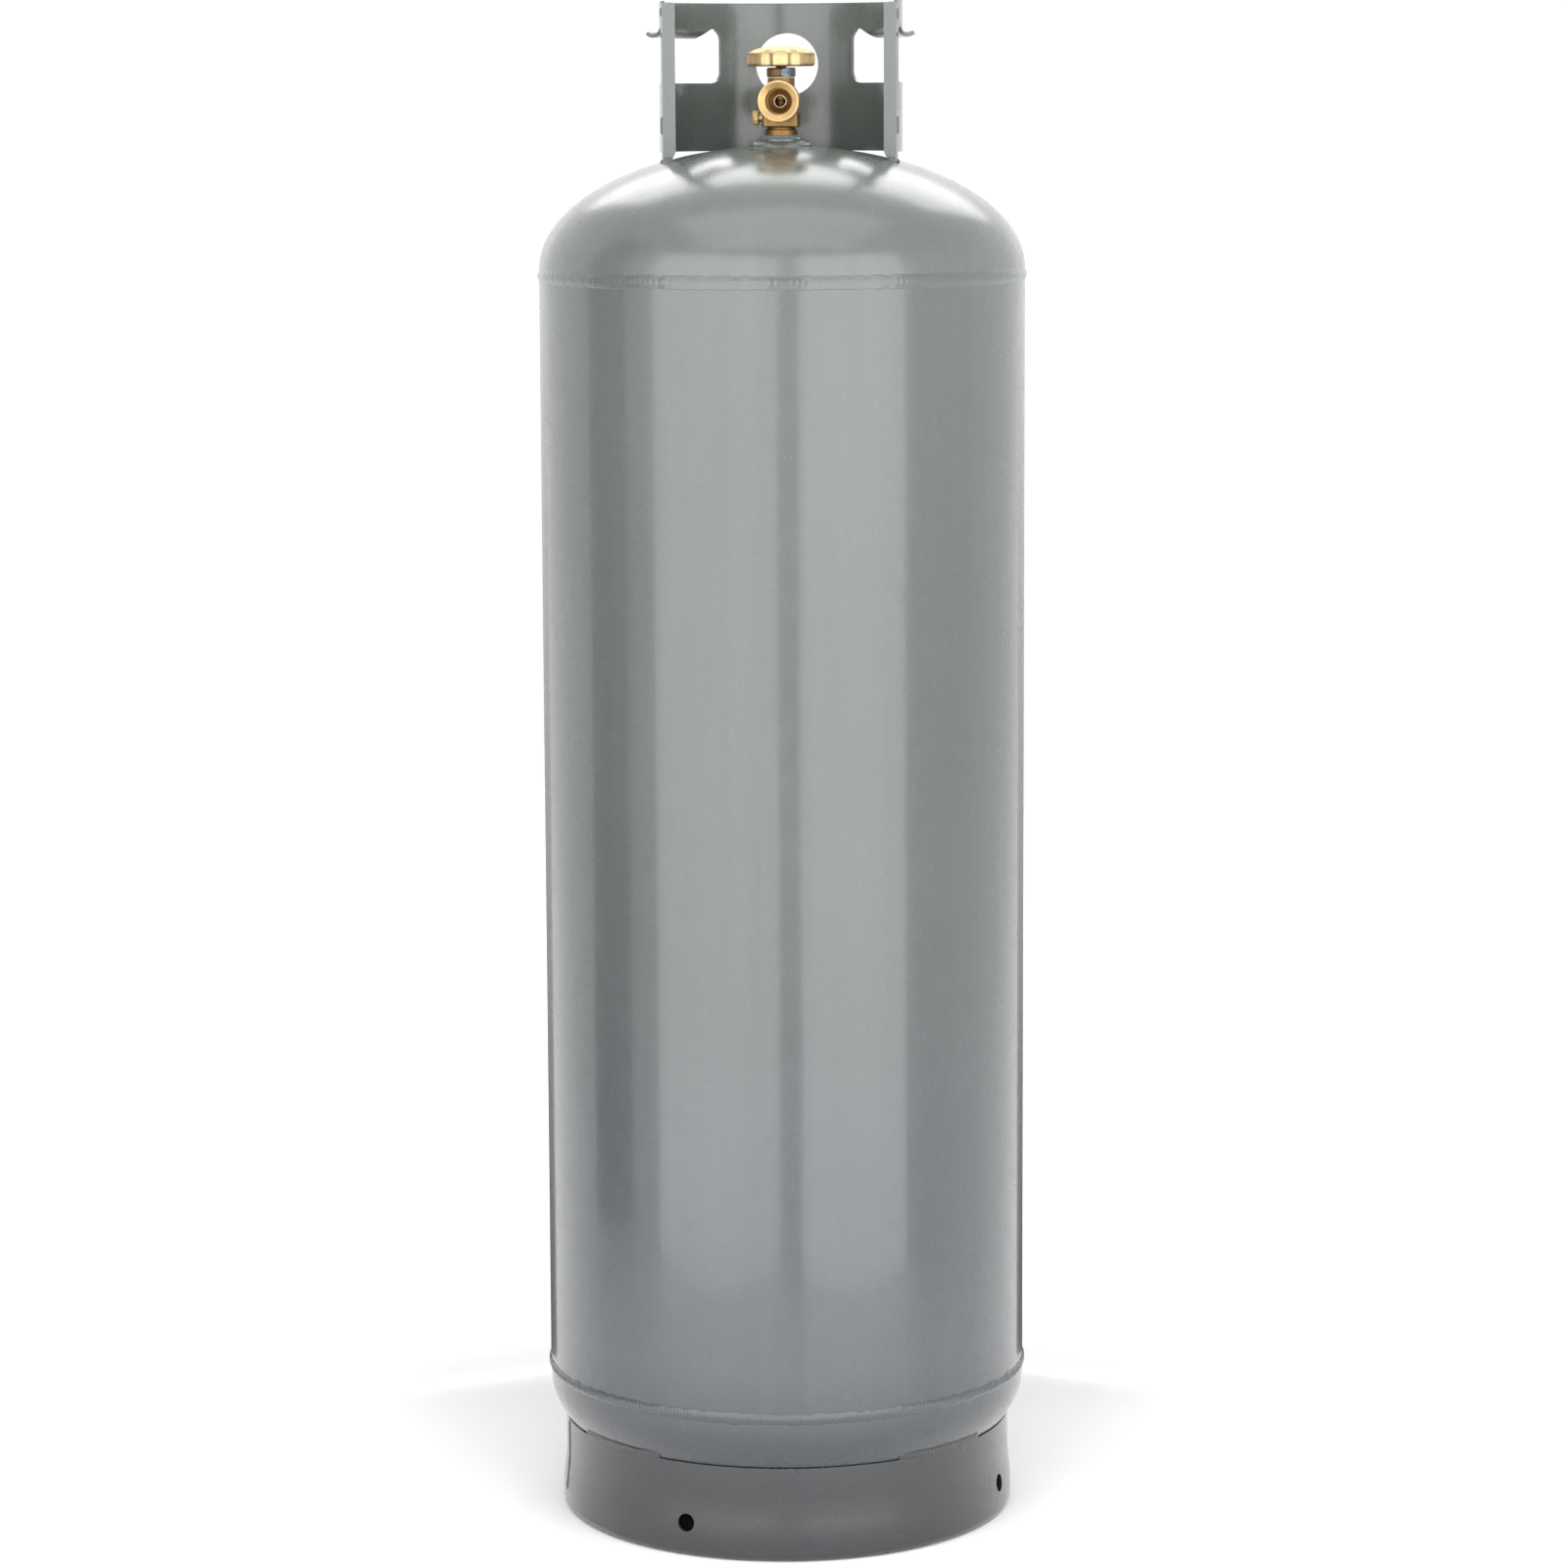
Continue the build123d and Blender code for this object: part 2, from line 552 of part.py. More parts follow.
with BuildPart() as valve_body:
    with BuildSketch(Plane.XZ):
        with BuildLine():
            Polyline(
                (0, SHANK_BOTTOM_Z),
                (SHANK_BOTTOM_R, SHANK_BOTTOM_Z),
                (SHANK_TOP_R, SHANK_TOP_Z),
                (BAND_R, SHANK_TOP_Z),
                (BAND_R, BAND_TOP_Z),
                (GROOVE_R, BAND_TOP_Z + 0.8),
                (GROOVE_R, BLOCK_BOTTOM_Z),
                (0, BLOCK_BOTTOM_Z),
                close=True,
            )
        make_face()
        with BuildLine():
            Polyline(
                (0, BLOCK_TOP_Z - 1),
                (BARREL_R, BLOCK_TOP_Z - 1),
                (BARREL_R, BARREL_TOP_Z - 2),
                (BARREL_R - 2, BARREL_TOP_Z),
                (NECK_R, BARREL_TOP_Z + 0.6),
                (NECK_R, BODY_TOP_Z),
                (0, BODY_TOP_Z),
                close=True,
            )
        make_face()
    revolve(axis=Axis.Z)
    with BuildSketch(Plane.XY.offset(BLOCK_BOTTOM_Z)):
        RectangleRounded(28, 26, 3)
    extrude(amount=BLOCK_TOP_Z - BLOCK_BOTTOM_Z)
    block_rims = valve_body.edges().filter_by_position(Axis.Z, BLOCK_BOTTOM_Z - 0.01, BLOCK_BOTTOM_Z + 0.01)
    chamfer(block_rims.filter_by(lambda e: e.center().X ** 2 + e.center().Y ** 2 > 100), 0.8)
    with BuildSketch(along_y(0)):
        Circle(13.0)
    extrude(amount=16)
    with BuildSketch(along_y(-14)):
        Circle(OUTLET_R)
    extrude(amount=-OUTLET_FACE_Y - 14)
    outlet_rims = valve_body.edges().filter_by(GeomType.CIRCLE).filter_by(
        lambda e: abs(e.radius - OUTLET_R) < 0.01
    )
    fillet(outlet_rims, 0.7)
    with BuildSketch(along_y(RELIEF_END_Y, RELIEF_Z)):
        Circle(RELIEF_BOSS_R)
    extrude(amount=RELIEF_END_Y)
    with BuildSketch(along_x(-9)):
        Circle(5.0)
    extrude(amount=5.2, taper=6)
    # vertical passages: bonnet thread, spindle chamber, seat, gas bore, dip tube pocket
    with BuildSketch(Plane.XZ):
        tube_section(BONNET_THREAD_R, 0, BONNET_FOOT_Z - 1, BODY_TOP_Z)
        tube_section(CHAMBER_R, 0, SEAT_Z - 1.2, BODY_TOP_Z)
        with BuildLine():
            Polyline(
                (3.4, SEAT_Z - 1.3),
                (4.6, SEAT_Z - 1.3),
                (3.9, SEAT_Z),
                (3.4, SEAT_Z),
                close=True,
            )
        make_face(mode=Mode.SUBTRACT)
        tube_section(3.4, 0, SEAT_Z - 4, SEAT_Z)
    revolve(axis=Axis.Z, mode=Mode.SUBTRACT)
    with BuildSketch(Plane.XY.offset(SHANK_BOTTOM_Z)):
        with Locations((GAS_BORE_X, 0)):
            Circle(GAS_BORE_R)
    extrude(amount=SEAT_Z - 3 - SHANK_BOTTOM_Z, mode=Mode.SUBTRACT)
    with BuildSketch(Plane.XY.offset(SHANK_BOTTOM_Z)):
        with Locations((DIP_TUBE_X, 0)):
            Circle(DIP_TUBE_R)
    extrude(amount=DIP_TUBE_TOP_Z - SHANK_BOTTOM_Z, mode=Mode.SUBTRACT)
    with BuildSketch(Plane.XY.offset(SHANK_BOTTOM_Z)):
        with Locations((DIP_TUBE_X, 0)):
            Circle(1.5)
    extrude(amount=BLEEDER_Z - SHANK_BOTTOM_Z, mode=Mode.SUBTRACT)
    # bleeder bore and its seat hole
    with BuildSketch(along_x(BLEEDER_SEAT_X)):
        Circle(BLEEDER_R + RUNNING_GAP)
    extrude(amount=10, mode=Mode.SUBTRACT)
    with BuildSketch(along_x(DIP_TUBE_X)):
        Circle(1.3)
    extrude(amount=3, mode=Mode.SUBTRACT)
    # outlet: entry cone, thread bore, seat cone, seat ring pocket, gas passage
    with BuildSketch(Plane(origin=(0, 0, OUTLET_Z), x_dir=(1, 0, 0), z_dir=(0, 0, 1))):
        with BuildLine():
            Polyline(
                (0, OUTLET_FACE_Y),
                (14.6, OUTLET_FACE_Y),
                (OUTLET_THREAD_R, OUTLET_FACE_Y + 2.6),
                (OUTLET_THREAD_R, OUTLET_THREAD_END_Y),
                (9.3, OUTLET_THREAD_END_Y),
                (SEAT_RING_R + 0.4, SEAT_RING_Y - 2),
                (SEAT_RING_R, SEAT_RING_Y - 2),
                (SEAT_RING_R, SEAT_RING_Y),
                (SEAT_RING_BORE_R, SEAT_RING_Y),
                (SEAT_RING_BORE_R, 0),
                (0, 0),
                close=True,
            )
        make_face()
    revolve(axis=Axis(origin=(0, 0, OUTLET_Z), direction=(0, 1, 0)), mode=Mode.SUBTRACT)
    # relief port: cross hole, riser, nozzle and chamber with a raised seat
    with BuildSketch(along_y(10.3, 1094.5)):
        Circle(1.9)
    extrude(amount=10.3, mode=Mode.SUBTRACT)
    with BuildSketch(Plane.XY.offset(1094.5)):
        with Locations((0, 10.3)):
            Circle(1.9)
    extrude(amount=RELIEF_Z - 1094.5, mode=Mode.SUBTRACT)
    with BuildSketch(Plane(origin=(0, 0, RELIEF_Z), x_dir=(1, 0, 0), z_dir=(0, 0, 1))):
        with BuildLine():
            Polyline(
                (0, 9.2),
                (RELIEF_NOZZLE_R, 9.2),
                (RELIEF_NOZZLE_R, RELIEF_SEAT_Y),
                (RELIEF_NOZZLE_R + 0.8, RELIEF_SEAT_Y),
                (RELIEF_NOZZLE_R + 1.6, RELIEF_SEAT_Y - 1.2),
                (RELIEF_BORE_R, RELIEF_SEAT_Y - 1.2),
                (RELIEF_BORE_R, RELIEF_END_Y),
                (0, RELIEF_END_Y),
                close=True,
            )
        make_face()
    revolve(axis=Axis(origin=(0, 0, RELIEF_Z), direction=(0, 1, 0)), mode=Mode.SUBTRACT)
finish(valve_body, "valve_body")

with BuildPart() as outlet_seat_ring:
    with BuildSketch(along_y(SEAT_RING_Y)):
        Circle(SEAT_RING_R)
        Circle(SEAT_RING_BORE_R, mode=Mode.SUBTRACT)
    extrude(amount=3.2)
    chamfer(outlet_seat_ring.edges().group_by(Axis.Y)[0], 0.4)
finish(outlet_seat_ring, "outlet_seat_ring")

# ---------------------------------------------------------------- bonnet and stem

with BuildPart() as bonnet:
    bonnet_foot = BODY_TOP_Z + GASKET_THICKNESS
    with BuildSketch(Plane.XZ):
        tube_section(BONNET_THREAD_R, 0, BONNET_FOOT_Z, bonnet_foot + 1)
        tube_section(BONNET_R, 0, bonnet_foot, BONNET_TOP_Z)
    revolve(axis=Axis.Z)
    shoulder = bonnet.edges().filter_by(GeomType.CIRCLE).filter_by(lambda e: e.radius > BONNET_R - 0.1)
    fillet(shoulder, 1.4)
    with BuildSketch(Plane.XZ):
        tube_section(STEM_R + RUNNING_GAP, 0, SPINDLE_CAVITY_TOP_Z, BONNET_TOP_Z)
        tube_section(SPINDLE_CAVITY_R, 0, BONNET_FOOT_Z, SPINDLE_CAVITY_TOP_Z)
        for ring_z in RING_HEIGHTS:
            tube_section(STEM_R + 1.9, 0, ring_z - 1, ring_z + 1)
    revolve(axis=Axis.Z, mode=Mode.SUBTRACT)
    with BuildSketch(facing_plane(LOCK_AZIMUTH, 9, LOCK_Z)):
        Circle(LOCK_PIN_R)
    extrude(amount=5, mode=Mode.SUBTRACT)
finish(bonnet, "bonnet")

with BuildPart() as bonnet_gasket:
    with BuildSketch(Plane.XY.offset(BODY_TOP_Z)):
        Circle(NECK_R - 0.1)
        Circle(BONNET_THREAD_R, mode=Mode.SUBTRACT)
    extrude(amount=GASKET_THICKNESS)
finish(bonnet_gasket, "bonnet_gasket")

with BuildPart() as bonnet_lock_plate:
    with BuildSketch(section_plane(LOCK_AZIMUTH - 24)):
        tube_section(BONNET_R + 1.7, BONNET_R, LOCK_Z - 3.2, LOCK_Z + 3.2)
    revolve(axis=Axis.Z, revolution_arc=52)
    plate_corners = bonnet_lock_plate.edges().filter_by(GeomType.LINE).filter_by(
        lambda e: abs(e.length - 1.7) < 0.01
    )
    fillet(plate_corners, 2.6)
    with BuildSketch(facing_plane(LOCK_AZIMUTH, 9, LOCK_Z)):
        Circle(LOCK_PIN_R)
    extrude(amount=8, mode=Mode.SUBTRACT)
finish(bonnet_lock_plate, "bonnet_lock_plate")

with BuildPart() as bonnet_lock_pin:
    with BuildSketch(facing_plane(LOCK_AZIMUTH, 9, LOCK_Z)):
        Circle(LOCK_PIN_R)
    extrude(amount=3.0)
    with BuildSketch(facing_plane(LOCK_AZIMUTH, 12.0, LOCK_Z)):
        Circle(0.9)
    extrude(amount=-1.2, mode=Mode.SUBTRACT)
finish(bonnet_lock_pin, "bonnet_lock_pin")

with BuildPart() as stem_seal_rings:
    with BuildSketch(Plane.XZ):
        with Locations(*[(STEM_R + RUNNING_GAP + RING_SECTION_R, ring_z) for ring_z in RING_HEIGHTS]):
            Circle(RING_SECTION_R)
    revolve(axis=Axis.Z)
finish(stem_seal_rings, "stem_seal_rings")

with BuildPart() as valve_stem:
    with BuildSketch(Plane.XZ):
        tube_section(STEM_R, 0, SPINDLE_CAVITY_TOP_Z - 2.3, WHEEL_BOTTOM_Z)
        tube_section(STEM_SHOULDER_R, 0, SPINDLE_CAVITY_TOP_Z - 2.3, SPINDLE_CAVITY_TOP_Z - 0.1)
    revolve(axis=Axis.Z)
    with BuildSketch(Plane.XY.offset(TANG_BOTTOM_Z)):
        Rectangle(TANG_WIDTH, TANG_THICKNESS)
    extrude(amount=SPINDLE_CAVITY_TOP_Z - 2 - TANG_BOTTOM_Z)
    with BuildSketch(Plane.XY.offset(WHEEL_BOTTOM_Z - 0.5)):
        RectangleRounded(STEM_SQUARE, STEM_SQUARE, 0.5)
    extrude(amount=STEM_TOP_Z - WHEEL_BOTTOM_Z + 0.5)
    with BuildSketch(Plane.XY.offset(STEM_TOP_Z)):
        Circle(WHEEL_SCREW_R)
    extrude(amount=-8, mode=Mode.SUBTRACT)
finish(valve_stem, "valve_stem")

with BuildPart() as spindle:
    with BuildSketch(Plane.XZ):
        tube_section(SPINDLE_R, 0, BONNET_FOOT_Z - 3, SPINDLE_TOP_Z)
        tube_section(HOLDER_R, 0, SPINDLE_BOTTOM_Z, BONNET_FOOT_Z)
    revolve(axis=Axis.Z)
    with BuildSketch(Plane.XY.offset(SPINDLE_TOP_Z)):
        Rectangle(TANG_WIDTH + 0.6, TANG_THICKNESS + 0.6)
    extrude(amount=SPINDLE_SLOT_Z - SPINDLE_TOP_Z, mode=Mode.SUBTRACT)
    with BuildSketch(Plane.XY.offset(SPINDLE_BOTTOM_Z)):
        Circle(1.5)
    extrude(amount=2.6, mode=Mode.SUBTRACT)
finish(spindle, "spindle")

with BuildPart() as seat_holder:
    with BuildSketch(Plane.XZ):
        tube_section(HOLDER_R, 0, HOLDER_BOTTOM_Z, SPINDLE_BOTTOM_Z - 0.06)
        tube_section(1.5 - RUNNING_GAP, 0, HOLDER_BOTTOM_Z, SPINDLE_BOTTOM_Z + 2.3)
    revolve(axis=Axis.Z)
    with BuildSketch(Plane.XY.offset(HOLDER_BOTTOM_Z)):
        Circle(SEAT_DISC_R)
    extrude(amount=1.5, mode=Mode.SUBTRACT)
finish(seat_holder, "seat_holder")

with BuildPart() as seat_disc:
    with BuildSketch(Plane.XY.offset(SEAT_Z + 0.05)):
        Circle(SEAT_DISC_R)
    extrude(amount=HOLDER_BOTTOM_Z + 1.5 - SEAT_Z - 0.05)
finish(seat_disc, "seat_disc")

# ---------------------------------------------------------------- handwheel

with BuildPart() as handwheel:
    with BuildSketch(Plane.XZ):
        with BuildLine():
            Polyline(
                (0, STEM_TOP_Z),
                (0, WHEEL_CROWN_Z - 2.5),
                (4.6, WHEEL_CROWN_Z - 2.5),
                (4.6, WHEEL_CROWN_Z),
                (WHEEL_CROWN_R, WHEEL_CROWN_Z),
            )
            ThreePointArc(
                (WHEEL_CROWN_R, WHEEL_CROWN_Z),
                (18.6, 1150.9),
                (WHEEL_R - 1.4, WHEEL_RIM_TOP_Z),
            )
            Polyline(
                (WHEEL_R - 1.4, WHEEL_RIM_TOP_Z),
                (WHEEL_R, WHEEL_RIM_TOP_Z - 1.6),
                (WHEEL_R, WHEEL_BOTTOM_Z + 1.2),
                (WHEEL_R - 1.1, WHEEL_BOTTOM_Z),
                (WHEEL_R - 4.3, WHEEL_BOTTOM_Z),
                (WHEEL_R - 4.9, WHEEL_RIM_TOP_Z - 3.6),
                (12.0, WHEEL_CROWN_Z - 3.6),
                (5.6, WHEEL_CROWN_Z - 4.0),
                (4.9, WHEEL_BOTTOM_Z - 0.6),
                (0, WHEEL_BOTTOM_Z - 0.6),
                (0, STEM_TOP_Z),
            )
        make_face()
    revolve(axis=Axis.Z)
    with BuildSketch(Plane.XY.offset(WHEEL_BOTTOM_Z - 1)):
        with PolarLocations(WHEEL_R - SCALLOP_DEPTH + SCALLOP_R, 8, start_angle=22.5 + WHEEL_TURN):
            Circle(SCALLOP_R)
    extrude(amount=WHEEL_CROWN_Z - WHEEL_BOTTOM_Z + 2, mode=Mode.SUBTRACT)
    with BuildSketch(Plane.XY.offset(WHEEL_BOTTOM_Z - 1)):
        Rectangle(STEM_SQUARE, STEM_SQUARE)
    extrude(amount=STEM_TOP_Z - WHEEL_BOTTOM_Z + 1, mode=Mode.SUBTRACT)
    with BuildSketch(Plane.XY.offset(WHEEL_BOTTOM_Z - 1)):
        Circle(STEM_R + 0.02)
    extrude(amount=1, mode=Mode.SUBTRACT)
    with BuildSketch(Plane.XY.offset(STEM_TOP_Z)):
        Circle(WHEEL_SCREW_R)
    extrude(amount=6, mode=Mode.SUBTRACT)
finish(handwheel, "handwheel")

with BuildPart() as handwheel_screw:
    with BuildSketch(Plane.XZ):
        tube_section(WHEEL_SCREW_R, 0, STEM_TOP_Z - 7.5, WHEEL_CROWN_Z - 2.5)
        tube_section(3.9, 0, WHEEL_CROWN_Z - 2.5, WHEEL_CROWN_Z - 0.3)
    revolve(axis=Axis.Z)
    fillet(handwheel_screw.edges().group_by(Axis.Z)[-1], 0.8)
    with BuildSketch(Plane.XY.offset(WHEEL_CROWN_Z - 0.3)):
        Rectangle(9, 1.1)
    extrude(amount=-1.1, mode=Mode.SUBTRACT)
finish(handwheel_screw, "handwheel_screw")

# ---------------------------------------------------------------- bleeder and dip tube

with BuildPart() as bleeder_screw:
    with BuildSketch(along_x(BLEEDER_SEAT_X - 1.2)):
        Circle(BLEEDER_R)
    extrude(amount=BLEEDER_SEAT_X - 1.2 - BLEEDER_HEAD_START_X)
    with BuildSketch(along_x(BLEEDER_HEAD_START_X)):
        Circle(BLEEDER_HEAD_R)
    extrude(amount=BLEEDER_HEAD_LENGTH)
    chamfer(
        bleeder_screw.edges().filter_by(GeomType.CIRCLE).filter_by(lambda e: e.radius > 5),
        0.5,
    )
    with BuildSketch(along_x(BLEEDER_HEAD_START_X - 0.3)):
        with PolarLocations(BLEEDER_HEAD_R + 0.25, KNURL_COUNT):
            RegularPolygon(0.6, 4)
    extrude(amount=BLEEDER_HEAD_LENGTH, mode=Mode.SUBTRACT)
    with BuildSketch(along_x(BLEEDER_HEAD_START_X - BLEEDER_HEAD_LENGTH)):
        Rectangle(14, 1.2)
    extrude(amount=-1.4, mode=Mode.SUBTRACT)
    with BuildSketch(along_x(BLEEDER_SEAT_X - 1.2)):
        Circle(1.1)
    extrude(amount=2.4, mode=Mode.SUBTRACT)
finish(bleeder_screw, "bleeder_screw")

with BuildPart() as bleeder_seat:
    with BuildSketch(along_x(BLEEDER_SEAT_X - 0.05)):
        Circle(2.4)
    extrude(amount=1.1)
    with BuildSketch(along_x(BLEEDER_SEAT_X - 0.05)):
        Circle(1.1 - RUNNING_GAP)
    extrude(amount=3.2)
finish(bleeder_seat, "bleeder_seat")

with BuildPart() as dip_tube:
    with BuildSketch(Plane.XY.offset(DIP_TUBE_BOTTOM_Z)):
        with Locations((DIP_TUBE_X, 0)):
            Circle(DIP_TUBE_R)
            Circle(DIP_TUBE_R - DIP_TUBE_WALL, mode=Mode.SUBTRACT)
    extrude(amount=DIP_TUBE_TOP_Z - DIP_TUBE_BOTTOM_Z)
finish(dip_tube, "dip_tube")

# ---------------------------------------------------------------- relief valve

with BuildPart() as relief_disc:
    with BuildSketch(along_y(RELIEF_SEAT_Y + 2.05, RELIEF_Z)):
        Circle(RELIEF_DISC_R)
    extrude(amount=2.0)
finish(relief_disc, "relief_disc")

with BuildPart() as relief_poppet:
    with BuildSketch(along_y(RELIEF_SEAT_Y + 4.0, RELIEF_Z)):
        Circle(RELIEF_POPPET_R)
    extrude(amount=3.0)
    with BuildSketch(along_y(RELIEF_SEAT_Y + 2.05, RELIEF_Z)):
        Circle(RELIEF_DISC_R)
    extrude(amount=2.0, mode=Mode.SUBTRACT)
    with BuildSketch(along_y(RETAINER_START_Y + 0.6, RELIEF_Z)):
        Circle(RELIEF_STEM_R)
    extrude(amount=RETAINER_START_Y + 0.6 - RELIEF_SEAT_Y - 3.5)
    with BuildSketch(along_y(RELIEF_SEAT_Y + 4.0, RELIEF_Z)):
        with PolarLocations(RELIEF_POPPET_R + 0.6, 4):
            Circle(1.6)
    extrude(amount=3.0, mode=Mode.SUBTRACT)
finish(relief_poppet, "relief_poppet")

with BuildPart() as relief_retainer:
    with BuildSketch(along_y(RETAINER_END_Y, RELIEF_Z)):
        Circle(RELIEF_BORE_R)
        Circle(RELIEF_STEM_R + 0.35, mode=Mode.SUBTRACT)
        with PolarLocations(5.6, 4):
            Circle(1.4, mode=Mode.SUBTRACT)
    extrude(amount=RETAINER_END_Y - RETAINER_START_Y)
finish(relief_retainer, "relief_retainer")

with BuildPart() as relief_spring:
    spring_start = RELIEF_SEAT_Y + 4.0 + SPRING_WIRE_R + 0.05
    spring_length = RETAINER_START_Y - RELIEF_SEAT_Y - 4.0 - 2 * SPRING_WIRE_R - 0.1
    with BuildLine() as coil:
        Helix(
            pitch=spring_length / 4,
            height=spring_length,
            radius=SPRING_R,
            center=(0, spring_start, RELIEF_Z),
            direction=(0, 1, 0),
        )
    with BuildSketch(Plane(origin=coil.line @ 0, z_dir=coil.line % 0)):
        Circle(SPRING_WIRE_R)
    sweep(path=coil.line, is_frenet=True)
finish(relief_spring, "relief_spring")

with BuildPart() as relief_cap:
    with BuildSketch(along_y(RELIEF_END_Y + 2.4, RELIEF_Z)):
        Circle(RELIEF_BOSS_R - 0.5)
    extrude(amount=2.35)
    chamfer(relief_cap.edges().group_by(Axis.Y)[-1], 0.9)
    with BuildSketch(along_y(RELIEF_END_Y + 0.05, RELIEF_Z)):
        Circle(RELIEF_BORE_R - 0.35)
        Circle(RELIEF_BORE_R - 1.5, mode=Mode.SUBTRACT)
    extrude(amount=1.3)
finish(relief_cap, "relief_cap")
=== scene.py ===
from math import cos, pi, radians, sin, sqrt, tau

import bpy
from mathutils import Matrix, Vector, noise


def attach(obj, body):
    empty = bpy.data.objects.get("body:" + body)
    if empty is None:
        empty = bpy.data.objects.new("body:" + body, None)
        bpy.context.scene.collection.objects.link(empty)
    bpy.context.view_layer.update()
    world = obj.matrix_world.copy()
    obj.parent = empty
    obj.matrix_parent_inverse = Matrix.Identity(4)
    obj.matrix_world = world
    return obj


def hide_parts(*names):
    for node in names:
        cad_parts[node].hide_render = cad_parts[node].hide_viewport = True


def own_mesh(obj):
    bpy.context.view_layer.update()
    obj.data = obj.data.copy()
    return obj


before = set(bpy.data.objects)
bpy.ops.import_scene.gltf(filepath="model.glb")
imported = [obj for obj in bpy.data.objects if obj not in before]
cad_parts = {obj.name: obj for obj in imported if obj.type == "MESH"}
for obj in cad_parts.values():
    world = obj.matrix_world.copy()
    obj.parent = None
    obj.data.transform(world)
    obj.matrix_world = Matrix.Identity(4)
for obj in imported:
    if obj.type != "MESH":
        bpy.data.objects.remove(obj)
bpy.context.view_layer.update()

MM = 0.001
BODY = "cylinder"

# sizes shared with the CAD model, in millimetres
SHELL_R = 188.5
BOTTOM_WELD_Z = 116.0
TOP_WELD_Z = 977.5
TOP_TANGENT_Z = 982.0
HEAD_DEPTH = 94.25
FOOT_R = 176.5
FOOT_SEAM_AZIMUTH = -74
FOOT_WELD_CENTRES = (-43, 47, 137, 227)
FOOT_WELD_SPAN = 28
FOOT_WELD_R = 177.9
FOOT_WELD_Z = 76.6
FOOT_WELD_RUN_R = 178
FOOT_WELD_LEAN = (0.48, 0.877)
FOOT_SEAM_START_Z = 15
FOOT_SEAM_LENGTH = 58
FLARE_START_Z = 48
FLARE_HEIGHT = 34
FLARE = 2.5
COLLAR_R = 94.0
COLLAR_WALL = 3.0
COLLAR_END = 75
COLLAR_TURN = 1.2
POST_THICKNESS = 4.0
POST_WELD_INSET = 6.8
POST_WELD_RUN = 7.9
TACK_AZIMUTH = 74.8
REAR_LEG_HALF_SPAN = 20
BOSS_WELD_R = 20.2
BOSS_WELD_RUN_R = 20
BOSS_WELD_Z = 1077.5
OUTLET_Z = 1110.3
MACHINED_Y = -15.0
COPPERY_Z = 1089.5
THREAD_PITCH = 25.4 / 14
WHEEL_R = 26.25
WHEEL_BOTTOM_Z = 1137.1
WHEEL_RIM_Z = 1142.0
WHEEL_RIM_TOP_Z = 1147.6
WHEEL_CROWN_Z = 1152.7
WHEEL_TURN = 3
SCALLOP_R = 7.2
SCALLOP_DEPTH = 1.85
STEM_TOP_Z = 1147.0
TOOL_MARKS = 26000.0  # radians of ripple in a metre of radius on a turned face


# ---------------------------------------------------------------- material tools


class Shader:
    """A node material under construction: one Principled shader and short calls for what feeds it."""

    def __init__(self, name, **sockets):
        self.material = bpy.data.materials.new(name)
        self.material.use_nodes = True
        self.tree = self.material.node_tree
        self.principled = self.tree.nodes["Principled BSDF"]
        for socket, value in sockets.items():
            self.principled.inputs[socket.replace("_", " ")].default_value = value
        self.place = self.tree.nodes.new("ShaderNodeTexCoord").outputs["Object"]

    def node(self, kind, inputs=(), **settings):
        made = self.tree.nodes.new("ShaderNode" + kind)
        for name, value in settings.items():
            setattr(made, name, value)
        for name, value in dict(inputs).items():
            socket = made.inputs[name]
            if isinstance(value, bpy.types.NodeSocket):
                self.tree.links.new(value, socket)
            else:
                socket.default_value = value
        return made

    def stretch(self, x, y, z):
        """The object's own coordinates, scaled on each axis."""
        return self.node("Mapping", {"Vector": self.place, "Scale": (x, y, z)}).outputs[0]

    def noise(self, scale, detail=3.0, rough=0.55, place=None):
        inputs = {"Vector": place or self.place, "Scale": scale, "Detail": detail, "Roughness": rough}
        return self.node("TexNoise", inputs).outputs["Fac"]

    def range(self, value, low, high, to_low=0.0, to_high=1.0):
        inputs = {"Value": value, "From Min": low, "From Max": high, "To Min": to_low, "To Max": to_high}
        return self.node("MapRange", inputs).outputs[0]

    def math(self, operation, a, b=0.0):
        return self.node("Math", {0: a, 1: b}, operation=operation).outputs[0]

    def mix(self, factor, a, b, blend="MIX"):
        made = self.node("Mix", {"Factor": factor}, data_type="RGBA", blend_type=blend)
        for socket, value in ((made.inputs[6], a), (made.inputs[7], b)):
            if isinstance(value, bpy.types.NodeSocket):
                self.tree.links.new(value, socket)
            else:
                socket.default_value = value
        return made.outputs[2]

    def bump(self, height, distance, normal=None):
        inputs = {"Height": height, "Distance": distance, "Strength": 1.0}
        if normal:
            inputs["Normal"] = normal
        return self.node("Bump", inputs).outputs[0]

    def worn_edge(self, radius):
        """How sharply the surface turns here, from 0 on a flat to about 1 on an edge."""
        soft = self.node("Bevel", {"Radius": radius}, samples=4).outputs[0]
        hard = self.node("NewGeometry").outputs["Normal"]
        alike = self.node("VectorMath", {0: soft, 1: hard}, operation="DOT_PRODUCT").outputs["Value"]
        return self.range(alike, 0.95, 0.72)

    def feed(self, **sockets):
        for name, value in sockets.items():
            self.tree.links.new(value, self.principled.inputs[name.replace("_", " ")])
        return self.material


def colour(red, green, blue):
    """An sRGB colour in 0 to 255, as the linear RGBA that nodes use."""
    def linear(v):
        v /= 255
        return v / 12.92 if v <= 0.04045 else ((v + 0.055) / 1.055) ** 2.4
    return (linear(red), linear(green), linear(blue), 1.0)


